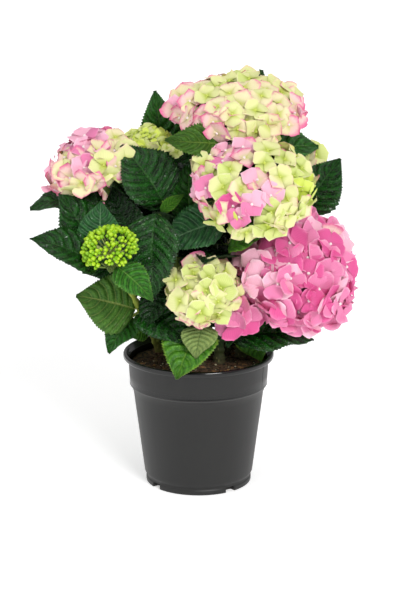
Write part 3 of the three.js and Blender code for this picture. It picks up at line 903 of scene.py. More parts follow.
STEMS = (
    Stem(
        "top", foot=(12, 30), knee=320, girth=(5.4, 3.4), leafy=0.5,
        head=Head(
            (51, 30, 466), 9, 275, 87, 49,
            Blush(2.45, 1.0, (-0.4, 0.0, -0.4), 0.6, ((-0.85, 0, 4.4), (-0.5, -0.35, 4.2), (0.9, 0, 4.6))),
            pitch=24.5, edge=100.0, ruffle=1.2,
        ),
        leaves=(
            Leaf(0.93, 204, 8, 98, roll=-56, arch=-12, broad=0.5, stalk=(62, 273, 14), tone=MOSS),
            Leaf(0.86, 8, 3, 94, roll=44, broad=0.84, tone=MID),
            Leaf(0.8, 40, 68, 128, arch=-20, stalk=(44, 75, 5), tone=MID),
            Leaf(0.84, 188, 10, 72, roll=-50),
            Leaf(0.72, 262, -14, 70),
            Leaf(0.6, 116, 16, 88),
            Leaf(0.6, 345, 10, 96),
        ),
    ),
    Stem(
        "left", foot=(-30, 34), knee=250, girth=(5, 3), leafy=0.5,
        head=Head(
            (-130, 10, 402), 28, 200, 60, 46,
            Blush(3.0, 0.3, (-0.5, 0, 0.6), 0.6, (
                (-0.41, 0.41, 5.4), (0, 0.5, 6.4), (-0.19, -0.05, 4.8), (-0.85, -0.25, 4.8),
                (0.16, 0.73, 5),
            )),
        ),
        leaves=(
            Leaf(0.85, 190, -3, 92, roll=-24),
            Leaf(0.85, 355, -8, 78, roll=20),
            Leaf(0.66, 150, 62, 70, roll=-80, broad=0.86, stalk=(30, 262, 10), tone=DEEP),
            Leaf(0.7, 88, 42, 88, tone=MID),
            Leaf(0.52, 165, 14, 88, tone=DEEP),
        ),
    ),
    Stem(
        "front", foot=(26, -4), knee=280, girth=(5.4, 3.2), leafy=0.09, tone=StalkTone.DARK,
        head=Head(
            (65, -70, 391), 35, 275, 77, 52,
            Blush(1.4, 0.6, (-0.5, 0, 0.3), 0.6, (
                # The first two spots are paler pink, partly the florets' own tone and partly painted light
                # that lifts the shade the top head casts on them.
                (-0.52, 0.48, 5.2), (-0.22, 0.62, 5.4), (0.05, 0.72, 4), (-0.76, -0.06, 5.4),
                (-0.28, -0.3, 6.6), (-0.06, -0.38, 5.8), (0.18, -0.02, 6.4),
            ), 0.22),
            pitch=25.0, ruffle=1.2,
            strays=(((57, -62, 438), (265, 38)), ((35, -77, 420), (255, 30)), ((5, -68, 420), (235, 25))),
        ),
        leaves=(
            Leaf(0.86, 178, -20, 86, roll=-50, tone=JADE),
            # This leaf's bright tone is partly painted light, lifting the shade cast on it by the head
            # above.
            Leaf(0.64, 345, 23, 78, roll=24, stalk=(38, 262, 22), tone=BRIGHT),
            Leaf(0.55, 250, 14, 74, tone=DEEP),
            Leaf(0.55, 73, -14, 72, roll=15),
            Leaf(0.32, 198, 12, 84, roll=-15, tone=DEEP),
            Leaf(0.14, 8, -3, 106, roll=30, arch=60, stalk=(34, 300, 10)),
        ),
    ),
    Stem(
        "right", foot=(54, 22), knee=215, girth=(5.2, 3.4), leafy=0.2,
        head=Head(
            (115, -18, 275), 46, 318, 85, 78, Blush(6.1, -0.4, (0.2, 0, 0.2), 0.6, ((-0.78, -0.7, 6.3),)),
            floret=22, pitch=24, sharp=0.1, edge=128, ruffle=2.1,
            strays=(
                ((60, -62, 248), (270, 0)), ((45, -70, 238), (262, 12)), ((56, -72, 228), (275, -8)),
                ((40, -72, 224), (255, -10)), ((68, -64, 234), (285, -10)),
            ),
        ),
        leaves=(
            Leaf(0.8, 60, 0, 96),
            Leaf(0.8, 240, -30, 80),
            Leaf(0.58, 353, -15, 88),
            Leaf(0.58, 137, 34, 76),
            Leaf(0.35, 30, 0, 92),
            # This leaf's bright tone is partly painted light, lifting the shade cast on it by the leaf
            # above.
            Leaf(0.3, 296, -38, 46, roll=16, broad=1.0, stalk=(14, 285, 10), tone=BRIGHT),
        ),
    ),
    Stem(
        "low", foot=(2, -14), knee=215, girth=(4.2, 2.8), leafy=0.3,
        head=Head((6, -77, 266), 45, 265, 49, 40, Blush(2.0, 1.2, (0.0, 0.0, -0.3), 0.5), 17.5, 20.5),
        leaves=(
            Leaf(0.82, 256, -46, 46, stalk=(27, 269, -40), broad=1.0, fold=8, tone=SAGE),
            Leaf(0.7, 165, 8, 63),
            Leaf(0.7, 345, -7, 64),
            Leaf(0.42, 246, -31, 85, roll=-6, broad=0.84, fold=12, stalk=(22, 266, 18), tone=BRIGHT),
        ),
    ),
    Stem(
        "lime", foot=(-14, 52), knee=300, girth=(4.6, 2.8), leafy=0.55,
        head=Head(
            (-66, 55, 420), 12, 200, 38, 27, Blush(0.4, 0.4, (0.0, 0.0, 0.0), 0.5), 10.5, 11.5,
            strays=(((-27, 0, 423), (262, 18)), ((-38, 8, 426), (230, 50))),
        ),
        leaves=(
            Leaf(0.9, 175, 83, 99, roll=-85, broad=0.58, stalk=(44, 76, 5), tone=MID),
            Leaf(0.84, 262, -12, 60),
            Leaf(0.6, 180, 56, 96, roll=-80, stalk=(16, 240, 10), tone=DEEP),
            Leaf(0.7, 160, -24, 84),
            Leaf(0.7, 22, -22, 86),
        ),
    ),
    Stem(
        "buds", foot=(-49, 41), lean=(-20, -26), knee=212, girth=(4.0, 2.6), leafy=0.3,
        head=Head((-106, -84, 321), 32, 250, 34, 21, edge=BUD_EDGE, buds=True),
        tone=StalkTone.GOLD, stubs=((0.4, 208, -28, 28),),
        leaves=(
            Leaf(0.86, 80, 84, 60, broad=0.94, stalk=(31, 155, 40), tone=JADE),
            Leaf(0.92, 322, -30, 66, stalk=(26, 276, 2), roll=38, broad=0.6, fold=14, tone=YOUNG),
            Leaf(0.84, 190, 26, 94, stalk=(26, 199, 10), roll=-36),
            Leaf(0.74, 172, 58, 104, stalk=(32, 165, 30), roll=-58),
            Leaf(0.43, 194, 19, 82, roll=-74, arch=58, broad=0.94, fold=2, stalk=(5, 200, -20), tone=OLIVE),
            Leaf(0.44, 316, -22, 86, roll=24, broad=0.88, stalk=(14, 306, 6)),
            Leaf(0.36, 222, -38, 58, roll=-14, broad=0.86, tone=MID),
            Leaf(0.965, 265, -30, 22, broad=0.8, stalk=(5, 255, -20), tone=SAGE),
            Leaf(0.2, 190, -14, 26, roll=-64, broad=0.95, stalk=(3, 200, 0), tone=BRIGHT),
        ),
    ),
    Stem(
        "leafy_shoot", foot=(-20, 6), knee=280, girth=(4.4, 2.4), leafy=0.45, tip=(-42, -22, 352),
        leaves=(
            Leaf(0.95, 170, 54, 88, roll=-50, broad=0.92),
            Leaf(0.95, 256, -80, 104, stalk=(38, 250, 22), roll=8),
            Leaf(0.99, 10, 32, 36, roll=62, stalk=(15, 250, 22), broad=0.44, tone=BRIGHT),
            Leaf(0.88, 100, 75, 76, stalk=(26, 20, 15), tone=MID),
            Leaf(0.7, 66, 12, 82),
            Leaf(0.7, 240, -8, 80),
            Leaf(0.5, 235, -34, 70, tone=DEEP),
        ),
    ),
    Stem(
        "back_right", foot=(34, 50), knee=260, girth=(5, 3.2), leafy=0.4,
        head=Head(
            (86, 108, 366), 28, 62, 70, 46, Blush(1.9, 0.5, (0.0, 0.6, 0.0)),
            strays=(((147, 60, 408), (285, 20)), ((134, 56, 403), (262, 28))),
        ),
        leaves=(
            Leaf(0.9, 7, 56, 84, stalk=(74, 320, 8), roll=78, broad=0.8),
            Leaf(0.84, 150, 6, 94),
            Leaf(0.7, 60, 0, 104),
            Leaf(0.7, 204, 3, 68),
            Leaf(0.5, 12, -6, 92),
            Leaf(0.5, 103, -18, 76),
        ),
    ),
    Stem(
        "back_left", foot=(-36, 62), knee=250, girth=(4.8, 3), leafy=0.4,
        head=Head((-78, 122, 348), 30, 118, 62, 44, Blush(5.2, 0.0, (-0.4, 0.4, 0.6), 0.8), sharp=0.4),
        leaves=(
            Leaf(0.84, 206, -30, 88),
            Leaf(0.84, 7, -2, 84, roll=-15),
            Leaf(0.7, 115, -5, 98, tone=MID),
            Leaf(0.6, 270, 18, 60),
            Leaf(0.5, 192, 2, 88, roll=-50),
            Leaf(0.5, 60, 36, 78),
        ),
    ),
    Stem(
        "back_low", foot=(4, 66), knee=210, girth=(4.6, 3), leafy=0.4,
        head=Head((12, 148, 268), 52, 86, 55, 42, Blush(2.5, 1.0, (0.3, 0.0, -0.6), 0.7), 18.0, 22.0),
        leaves=(
            Leaf(0.84, 175, -8, 92),
            Leaf(0.84, 350, -21, 92, tone=MID),
            Leaf(0.66, 95, -28, 84),
            Leaf(0.66, 20, -7, 86),
            Leaf(0.45, 150, -4, 84, tone=DEEP),
            Leaf(0.45, 45, -16, 80, tone=DEEP),
        ),
    ),
)


@dataclass(frozen=True)
class BladeMould:
    """The shape that every blade is cast in: quilted, toothed, and thin."""

    teeth: int = 24
    tooth_lean: float = 0.66
    tooth_depth: float = 0.03
    tooth_spread: Pair = (0.7, 1.25)
    across: tuple[float, ...] = (0.0, 0.07, 0.3, 0.56, 0.82, 1.0)
    thickness: float = 0.5
    quilt: float = 0.056
    quilt_spread: Pair = (0.75, 1.15)
    pucker: float = 0.006
    crease_radius: float = 2.0
    rib: float = 1.3
    rib_half: float = 2.2
    groove: float = 0.3
    droop: float = 0.05
    ripple: float = 0.024
    ripples: Pair = (1.3, 2.4)
    twist: float = 9.0
    sway: float = 0.05

    @property
    def stations(self) -> Array:
        """The shares of the blade's length: a notch and a tooth's point in turn."""
        steps = np.arange(self.teeth)[:, None] + np.array([0.0, self.tooth_lean])
        return np.append((steps / self.teeth).ravel(), 1.0)

    @property
    def columns(self) -> Array:
        """The shares of the half breadth, from the right margin to the left one."""
        outer = np.array(self.across[1:])
        return np.concatenate([-outer[::-1], [0.0], outer])

    def grid(self) -> tuple[Array, Array]:
        """Sets out the blade's vertices in rows that run along the veins.

        Returns:
            The shares of length and of breadth of each vertex.
        """
        u, v = np.broadcast_arrays(self.stations[:, None], self.columns[None, :])
        slant = VEIN_SLANT * np.abs(v) + VEIN_CURVE * v**2
        return u + slant * np.minimum(1.0, 5 * u) * (1 - u**3), v

    @staticmethod
    def outline(share: Array) -> Array:
        """Gives half the breadth, as a share of its widest, at shares of the length."""
        full = np.maximum(np.sin(math.pi * share**0.72), 0.0)
        return np.maximum(0.05, full**0.8 * (1 - 0.35 * share**3))

    @staticmethod
    def midrib(share: Array, long: float, arch: float) -> tuple[Array, Array]:
        """Gives the reach and the lift of the midrib in the plane of its chord.

        Args:
            share: The shares of the length.
            long: The blade's length.
            arch: The degrees by which the blade bends.

        Returns:
            The reach and the lift.
        """
        bend = math.radians(arch)
        ahead = bend / 2 - bend * share
        reach = long / bend * (math.sin(bend / 2) - np.sin(ahead))
        return reach, long / bend * (np.cos(ahead) - math.cos(bend / 2))

    def cast(self, leaf: Leaf, luck: Luck) -> tuple[Array, Array]:
        """Casts one blade.

        Args:
            leaf: The leaf.
            luck: The source of its small differences.

        Returns:
            The upper and the lower surface in the blade's frame, each as rows of points.
        """
        u, v = self.grid()
        off = np.abs(v)
        reach, lift = self.midrib(u, leaf.long, leaf.arch)
        half = leaf.long * leaf.broad / 2 * self.outline(u)
        toothed = smooth(0.1, 0.26, u) * (1 - 0.5 * smooth(0.7, 1.0, u))
        points = np.zeros((len(u), 1))
        points[1:-1:2] = 1.0
        depth = leaf.long * self.tooth_depth * luck.uniform(*self.tooth_spread, points.shape)
        out = half * v + np.sign(v) * (off > 0.99) * points * depth * toothed
        phase = VEIN_PAIRS * (u - VEIN_SLANT * off - VEIN_CURVE * off**2)
        rest = (2 * np.abs((phase + 0.5) % 1 - 0.5)) ** 0.75
        swell = self.quilt * rest * luck.uniform(*self.quilt_spread)
        swell = swell + self.pucker * luck.uniform(-1, 1, u.shape)
        inner = smooth(0.0, 0.12, u) * (1 - 0.6 * u) * smooth(0.0, 0.2, off)
        crease = math.radians(leaf.fold)
        rounded = np.sqrt(out**2 + self.crease_radius**2) - self.crease_radius
        start, waves = luck.uniform(0, FULL_TURN, 2), luck.uniform(*self.ripples, 2)
        wave = np.where(v > 0, *(np.sin(FULL_TURN * waves[i] * u + start[i]) for i in (0, 1)))
        height = lift + rounded * math.sin(crease) + swell * leaf.long * (1 - 0.8 * off**4) * inner
        height = height + wave * off**2 * leaf.long * self.ripple - self.droop * half * off**3
        twist = math.radians(luck.uniform(-self.twist, self.twist)) * u**2
        side = out * math.cos(crease)
        turned = side * np.cos(twist) + leaf.long * luck.uniform(-self.sway, self.sway) * u**2
        upper = np.stack(np.broadcast_arrays(reach, turned, height + side * np.sin(twist)), axis=-1)
        ribs = self.rib * np.exp(-((off * half / self.rib_half) ** 2)) * (1 - 0.7 * u)
        lower = upper.copy()
        lower[..., 2] -= self.thickness + ribs + self.groove * (1 - rest)
        return upper, lower

    def places(self) -> Array:
        """Lays both surfaces out in a unit square.

        Returns:
            The place of each vertex.
        """
        along, across = self.grid()
        upper = np.stack([along, SIDE_FROM + SIDE_HALF * (across + 1)], axis=-1).reshape(-1, 2)
        return np.concatenate([upper, upper + (0.0, LOWER_FROM)])

    def faces(self) -> list[Array]:
        """Gives the faces of a blade.

        Returns:
            Those of the upper and the lower surface, and of the rim.
        """
        rows, columns = len(self.stations), len(self.columns)
        lower = rows * columns
        first = np.arange(rows) * columns
        last = first + columns - 1
        ends = [np.arange(columns), first[-1] + np.arange(columns)[::-1], first[::-1], last]
        walls = [np.stack([n[:-1], n[1:], n[1:] + lower, n[:-1] + lower], axis=1) for n in ends]
        return [grid_faces(rows, columns), grid_faces(rows, columns, True) + lower, *walls]


@dataclass
class Crowd:
    """What new leaves keep clear of: the leaves so far, and every head.

    Seen from the front, a new leaf hides no main leaf and no head, and stays out of the open sky and the
    low front.
    """

    leaves: list[tuple[Vector, float, BVHTree]] = field(default_factory=list)
    heads: list[tuple[Head, Matrix]] = field(default_factory=list)
    shown: list[BVHTree] = field(default_factory=list)
    sketched: tuple[float, ...] = (0.02, 0.2, 0.4, 0.6, 0.8, 1.0)
    front_half: float = 25.0
    front_heads: float = 60.0
    open_beyond: float = 80.0
    low_front: float = 212.0
    sight: float = 260.0
    sight_steps: Sequence[int] = range(0, 200, 20)
    sight_fall: float = -15.0
    touch_share: float = 0.97
    hide_share: float = 1.05

    def sketch(self, leaf: Leaf, root: Vector, mould: BladeMould) -> list[Vector]:
        """Gives a few points of a leaf's blade, row by row, three to a row.

        Args:
            leaf: The leaf.
            root: Where its petiole leaves the stem.
            mould: The shape of its blade.

        Returns:
            The points.
        """
        place = leaf.frame(root)
        crease = math.radians(leaf.fold)
        points = []
        for share in self.sketched:
            reach, lift = mould.midrib(np.array(share), leaf.long, leaf.arch)
            half = leaf.long * leaf.broad / 2 * float(mould.outline(np.array(share)))
            for out in (-half, 0.0, half):
                height = float(lift) + abs(out) * math.sin(crease)
                points.append(place @ Vector((float(reach), out * math.cos(crease), height)))
        return points

    def tree(self, points: list[Vector]) -> tuple[Vector, float, BVHTree]:
        """Makes the search tree of a sketched blade.

        Args:
            points: The blade's points.

        Returns:
            The blade's middle, its reach and the tree.
        """
        faces = [tuple(quad) for quad in grid_faces(len(self.sketched), 3)]
        middle = sum(points, Vector()) / len(points)
        reach = max((p - middle).length for p in points)
        return middle, reach, BVHTree.FromPolygons(points, faces, epsilon=1.0)

    def admits(self, points: list[Vector], limits: tuple[Vector, Vector]) -> bool:
        """Tells whether a sketched blade is clear of the crowd and within the limits.

        Args:
            points: The blade's points.
            limits: The lowest and the highest corner of its room.

        Returns:
            Whether it may stand there.
        """
        low, high = limits
        for p in points:
            if any(p[i] < low[i] or p[i] > high[i] for i in range(3)):
                return False
            if any(head.holds(p, inverse, self.touch_share) for head, inverse in self.heads):
                return False
        middle, reach, tree = self.tree(points)
        for other, far, known in self.leaves:
            if (other - middle).length < reach + far and known.overlap(tree):
                return False
        return not any(self.hides(p) for p in points)

    def meets(self, point: Vector, way: Vector) -> bool:
        """Tells whether a line meets a main leaf or one of the front heads.

        Args:
            point: Where the line starts.
            way: Its direction.

        Returns:
            Whether it does.
        """
        if any(tree.ray_cast(point, way, self.sight)[0] for tree in self.shown):
            return True
        steps = [point + way * s for s in self.sight_steps]
        fronts = [(head, inverse) for head, inverse in self.heads if head.centre[1] < self.front_heads]
        return any(head.holds(p, inverse, self.hide_share) for head, inverse in fronts for p in steps)

    def hides(self, point: Vector) -> bool:
        """Tells whether a point is in the low front, before something main, or in open sky.

        Args:
            point: The point.

        Returns:
            Whether it is.
        """
        away = heading(90, self.sight_fall)
        if (point.y < 0 and point.z < self.low_front) or self.meets(point, away):
            return True
        return abs(point.x) > self.open_beyond and not self.meets(point, -away)

    def join(self, points: list[Vector], main: bool = False) -> None:
        """Adds a sketched blade.

        Args:
            points: The blade's points.
            main: Whether it may not be hidden by later ones, where it is in the front half.
        """
        known = self.tree(points)
        self.leaves.append(known)
        if main and known[0].y < self.front_half:
            self.shown.append(known[2])


@dataclass
class Foliage:
    """A stem's leafy shoot: its green stem, its petioles and its leaves."""

    stem: Stem
    number: int
    crowd: Crowd
    mould: BladeMould = BladeMould()
    petiole_radius: Pair = (2.1, 1.25)
    petiole_foot: float = 0.25
    petiole_sag: float = 0.06
    petiole_steps: int = 8
    usual_long: float = 90.0
    stub_radius: float = 1.9
    cut_radius: float = 1.75
    fillers: int = 12
    tries: int = 150
    filler_top: float = 0.9
    filler_room: float = 0.9
    filler_rise: Pair = (-36.0, 40.0)
    filler_long: Pair = (40.0, 84.0)
    node_swell: float = 1.2
    node_height: float = 3.0
    shoot_sides: int = 12
    shoot_rings: int = 40
    pale_stalked: tuple[LeafTone, ...] = (SAGE, YOUNG, OLIVE)

    def __post_init__(self) -> None:
        """Works out the stem's bow, and grows the small leaves."""
        self.path = StemPath(self.stem)
        self.leaves = [*self.stem.leaves, *self.extra_leaves()]

    def extra_leaves(self) -> list[Leaf]:
        """Grows small leaves inside the shoot wherever there is room.

        Returns:
            The leaves.
        """
        random = seeded(40 + self.number)
        low, high = (corner / MM * self.filler_room for corner in CAD_BOX)
        low.z = SOIL_TOP + 4
        grown: list[Leaf] = []
        for _ in range(self.tries):
            at = lerp(self.stem.leafy + 0.06, self.filler_top, next(random))
            turn, rise = 360 * next(random), lerp(*self.filler_rise, next(random))
            tone = DEEP if len(grown) % 2 else DARK
            leaf = Leaf(at, turn, rise, lerp(*self.filler_long, next(random)), tone=tone)
            points = self.crowd.sketch(leaf, self.path.at(at), self.mould)
            if len(grown) < self.fillers and self.crowd.admits(points, (low, high)):
                self.crowd.join(points)
                grown.append(leaf)
        LOG.info("%s: %d main leaves and %d small ones", self.stem.name, len(self.stem.leaves), len(grown))
        return grown

    def petiole(self, bundle: Bundle, leaf: Leaf) -> None:
        """Adds a leaf's petiole, thicker at its foot.

        Args:
            bundle: What it is added to.
            leaf: The leaf.
        """
        root, run = self.path.at(leaf.at), leaf.petiole()
        bow = root + run * 0.5 + Vector((0, 0, self.petiole_sag * run.length))
        line = curved(root, bow, root + run + heading(leaf.turn, leaf.rise) * 2.0, self.petiole_steps)
        share = np.linspace(0, 1, self.petiole_steps)
        thick, thin = self.petiole_radius
        radii = thin + (thick - thin) * (1 - share) ** 2 + self.petiole_foot * share**4
        tone = StalkTone.PALE if leaf.tone in self.pale_stalked else StalkTone.GREEN
        bundle.add_tube(line, radii * (0.75 + 0.25 * leaf.long / self.usual_long), 8, tone.cell, 0.85)

    def shoot(self) -> Bundle:
        """Gathers the shoot's stem, its petioles and the stubs of cut ones.

        Returns:
            The bundle.
        """
        bundle, path = Bundle(), self.path
        cell = self.stem.tone.cell
        shares = np.linspace(self.stem.leafy, 1.0, self.shoot_rings)
        nodes = np.array([leaf.at for leaf in self.leaves])
        near = np.array([np.abs(nodes - s).min() for s in shares]) * path.length / self.node_height
        radii = np.array([path.radius(s) for s in shares]) + self.node_swell * np.exp(-(near**2))
        bundle.add_tube(np.array([path.at(s) for s in shares]), radii, self.shoot_sides, cell)
        for at, turn, rise, length in self.stem.stubs:
            way, root = heading(turn, rise) * length, path.at(at)
            bundle.add_tube(np.linspace(root, root + way, 4), np.full(4, self.stub_radius), 8, cell)
            cut = np.linspace(root + way * 0.97, root + way * 1.03, 4)
            bundle.add_tube(cut, np.full(4, self.cut_radius), 8, StalkTone.CUT.cell)
        for leaf in self.leaves:
            self.petiole(bundle, leaf)
        return bundle

    def blades(self) -> Bundle:
        """Gathers the shoot's blades.

        Returns:
            The bundle.
        """
        bundle = Bundle()
        faces, places = self.mould.faces(), self.mould.places()
        for i, leaf in enumerate(self.leaves):
            luck = np.random.default_rng(1000 * self.number + i)
            local = np.concatenate([side.reshape(-1, 3) for side in self.mould.cast(leaf, luck)])
            points = moved(np.array(leaf.frame(self.path.at(leaf.at))), local)
            bundle.add(points, LEAF_ATLAS.spread(leaf.tone.cell, places), faces, leaf.tone.cell)
        return bundle

    def build(self, leaf_finishes: list[Material], stalk_finishes: list[Material]) -> None:
        """Builds the shoot's two pieces.

        Args:
            leaf_finishes: The leaf materials.
            stalk_finishes: The stalk materials.
        """
        name = self.stem.name
        register(self.shoot().build("shoot_" + name, stalk_finishes), "green_cane", "foliage_" + name)
        blades = self.blades().build("leaves_" + name, leaf_finishes, UNSPLIT)
        register(blades, "leaf_green", "foliage_" + name)


@dataclass(frozen=True)
class SepalMould:
    """The shape of a sepal: a broad blunt kite, or one with a drawn-out tip, waved at its margin.

    The spreads are shares of the sepal's length, and lean and turn are in degrees.
    """

    along: tuple[float, ...] = (0.0, 0.22, 0.45, 0.66, 0.86, 1.0)
    blunt: tuple[float, ...] = (0.09, 0.34, 0.55, 0.6, 0.44, 0.14)
    sharp: tuple[float, ...] = (0.07, 0.3, 0.53, 0.47, 0.22, 0.01)
    across: tuple[float, ...] = (-1.0, -0.5, 0.0, 0.5, 1.0)
    count: int = 4
    point: Pair = (-0.35, 0.35)
    long: Pair = (0.84, 1.1)
    broad: Pair = (0.92, 1.2)
    cup: Pair = (-0.06, 0.3)
    dish: Pair = (-0.12, 0.22)
    curl: Pair = (-0.12, 0.45)
    fold: Pair = (-0.45, 0.55)
    waves: Pair = (4.0, 8.0)
    wave: Pair = (0.02, 0.09)
    lean: Pair = (-20.0, 20.0)
    tier: float = 0.4
    bow: Pair = (-0.14, 0.14)
    turn: Pair = (-11.0, 11.0)

    def cast(self, radius: Array, sharp: float, ruffle: float, luck: Luck) -> Array:
        """Casts the sepals of many florets.

        Args:
            radius: The radius of each floret.
            sharp: How drawn-out their tips are, from 0 to 1.
            ruffle: How deep the waves of their margins are.
            luck: The source of their small differences.

        Returns:
            Points by floret, sepal, station and column, in the florets' own frames.
        """
        each = (len(radius), self.count, 1, 1)
        whole = (len(radius), 1, 1, 1)
        a, c = np.array(self.along)[:, None], np.array(self.across)[None, :]
        point = np.clip(sharp + luck.uniform(*self.point, each), 0, 1)
        half = np.array(self.blunt)[:, None] * (1 - point) + np.array(self.sharp)[:, None] * point
        long = radius[:, None, None, None] * luck.uniform(*self.long, each)
        y = long * luck.uniform(*self.broad, each) * half * c
        x = long * a * (1 - 0.05 * c**2)
        cup = luck.uniform(*self.cup, whole) * a**2 + luck.uniform(*self.dish, each) * a
        curl = luck.uniform(*self.curl, each) * a**4
        fold = luck.uniform(*self.fold, each) * half * c**2 * a
        wave = np.sin(luck.uniform(0, FULL_TURN, each) + luck.uniform(*self.waves, each) * a + 1.5 * c)
        wave = wave * np.abs(c) * a * luck.uniform(*self.wave, each) * ruffle
        lean = np.tan(np.radians(luck.uniform(*self.lean, each)))
        tier = np.where(np.arange(self.count) % 2, self.tier, -self.tier)[None, :, None, None]
        z = long * (cup - curl + fold + wave) + y * lean + tier
        y = y + long * luck.uniform(*self.bow, each) * a**2
        turn = 90 * np.arange(self.count)[None, :, None, None] + luck.uniform(*self.turn, each)
        turn = np.radians(turn) + luck.uniform(0, 2 * math.pi, whole)
        x, y, z = np.broadcast_arrays(x, y, z)
        cos, sin = np.cos(turn), np.sin(turn)
        return np.stack([x * cos - y * sin, x * sin + y * cos, z], axis=-1)

    def places(self) -> Array:
        """Gives the place of each vertex of a sepal in a unit square."""
        along, across = np.broadcast_arrays(np.array(self.along)[:, None], np.array(self.across)[None, :])
        return np.stack([along, (across + 1) / 2], axis=-1).reshape(-1, 2)


def upright(facing: Array) -> Array:
    """Gives the shortest turns that bring +Z to some unit vectors, as rotation matrices.

    Args:
        facing: The unit vectors, one on each row.

    Returns:
        A rotation matrix for each.
    """
    x, y, z = facing.T
    k = 1 / (1 + z)
    rows = [1 - x * x * k, -x * y * k, x, -x * y * k, 1 - y * y * k, y, -x, -y, z]
    return np.stack(rows, axis=-1).reshape(-1, 3, 3)


@dataclass
class FlowerHead:
    """A domed head of four-sepalled florets on their stalks."""

    stem: Stem
    number: int
    mould: SepalMould = SepalMould()
    nod: float = 38.0
    crown_calm: float = 0.4
    calm_angle: float = 75.0
    light_lean: float = 0.32
    lean_turns: float = 0.66
    lean_ease: float = 0.2
    back_head: float = 100.0
    sink: Pair = (3.0, 11.0)
    outer_share: float = 0.95
    inner_share: float = 0.7
    inner_pitch: float = 1.45
    inner_size: float = 0.85
    sizes: Pair = (0.9, 1.08)
    sepal_spread: float = 0.35
    rim_middle: float = 0.4
    crimson_shade_from: float = 3.0
    crimson_shade_ball_from: float = 4.0
    pale_bead_from: float = 3.4
    bead_radius: float = 2.1
    bead_floret: float = 19.0
    stalk_radius: Pair = (0.75, 1.3)
    stalk_run: float = 10.0
    pale_stalks: float = 0.6
    hub_depth: float = 0.35
    # The dark ball inside the head is painted shade: its size, lumpiness, rings and sides.
    shade_ball_share: float = 0.6
    shade_ball_lumps: float = 0.1
    shade_ball_rings: int = 14
    shade_ball_sides: int = 28

    def __post_init__(self) -> None:
        """Works out the head's place, and sets its florets."""
        self.head = self.stem.head
        self.place = self.head.frame()
        self.centres, self.facings, self.shares = self.florets()

    def florets(self) -> tuple[Array, ...]:
        """Sets the florets on the dome, with a sparser layer inside.

        Returns:
            The centre, the facing and the outer share of each floret, in the head's frame.
        """
        head, home = self.head, self.place.inverted()
        front = Vector((0, -1 if head.centre[1] < self.back_head else 1, 0))
        light = home.to_3x3() @ front * self.light_lean
        random = seeded(self.number + 1)
        rows = []
        layers = ((self.outer_share, head.pitch), (self.inner_share, head.pitch * self.inner_pitch))
        for share, pitch in layers:
            for angle, turn in head.spiral(pitch, share):
                point, normal = head.dome(angle, turn + TURN_SPREAD * next(random), share)
                loose = lerp(self.crown_calm, 1.0, min(1.0, angle / self.calm_angle))
                aside = heading(next(random) * 360, 0)
                nod = aside * (math.sin(math.radians(self.nod)) * next(random) * loose)
                point -= normal * (lerp(*self.sink, next(random)) * share)
                turned = (normal.dot(light) / self.light_lean + self.lean_turns) / self.lean_ease
                lean = light * max(-1.0, min(1.0, turned))
                rows.append((*point, *(normal + nod + lean).normalized(), share))
        for place, aim in head.strays:
            rows.append((*(home @ Vector(place)), *(home.to_3x3() @ heading(*aim)), 1.0))
        table = np.array(rows)
        return table[:, :3], table[:, 3:6], table[:, 6]

    def tones(self, luck: Luck) -> Array:
        """Deals out the tones of the sepals.

        Args:
            luck: The source of the spread.

        Returns:
            The number of the tone of each sepal of each floret.
        """
        blush, radius = self.head.blush, self.head.radius
        world = self.centres @ np.array(self.place)[:3, :3].T / radius
        rim = np.linalg.norm(self.centres[:, :2], axis=1) / radius
        warmth = blush.warmth + blush.rim * (rim**2 - self.rim_middle) + world @ np.array(blush.lean)
        warmth = warmth + luck.normal(0, blush.spread, len(rim))
        for across, up, own in blush.spots:
            height = world[:, 2] * VIEW_LEVEL + world[:, 1] * VIEW_FALL
            far = np.hypot(world[:, 0] - across, height - up)
            warmth = warmth + (own - warmth) * np.exp(-((far / blush.spot_size) ** 4))
        sepals = warmth[:, None] + luck.normal(0, self.sepal_spread, (len(rim), self.mould.count))
        crimson = blush.warmth >= self.crimson_shade_from
        shade = (PetalTone.CRIMSON_SHADE if crimson else PetalTone.GREEN_SHADE).cell
        shown = np.clip(np.round(sepals), 0, PetalTone.DEEP_PINK.cell)
        return np.where(self.shares[:, None] < self.outer_share, shade, shown).astype(int)

    def blossom(self) -> Bundle:
        """Gathers the florets and their beads.

        Returns:
            The bundle.
        """
        head, count = self.head, len(self.centres)
        luck = np.random.default_rng(500 + self.number)
        layer = np.where(self.shares < self.outer_share, self.inner_size, 1.0)
        radius = head.floret * luck.uniform(*self.sizes, count) * layer
        sepals = self.mould.cast(radius, head.sharp, head.ruffle, luck)
        tones = self.tones(luck)
        place = np.array(self.place)
        turns = np.einsum("ij,njk->nik", place[:3, :3], upright(self.facings))
        world = moved(place, self.centres)
        sepals = np.einsum("nij,nsrcj->nsrci", turns, sepals) + world[:, None, None, None, :]
        bundle = Bundle()
        faces = [grid_faces(len(self.mould.along), len(self.mould.across))]
        places = self.mould.places()
        bead, bead_places, bead_faces = self.bead()
        for i in range(count):
            for sepal, cell in zip(sepals[i], tones[i]):
                bundle.add(sepal, PETAL_ATLAS.spread(int(cell), places), faces, int(cell))
            cell = BEAD_PALE if tones[i].mean() > self.pale_bead_from else BEAD_GREEN
            points = bead * self.bead_radius * radius[i] / self.bead_floret @ turns[i].T + world[i]
            bundle.add(points, PETAL_ATLAS.spread(cell, bead_places), bead_faces, cell)
        return bundle

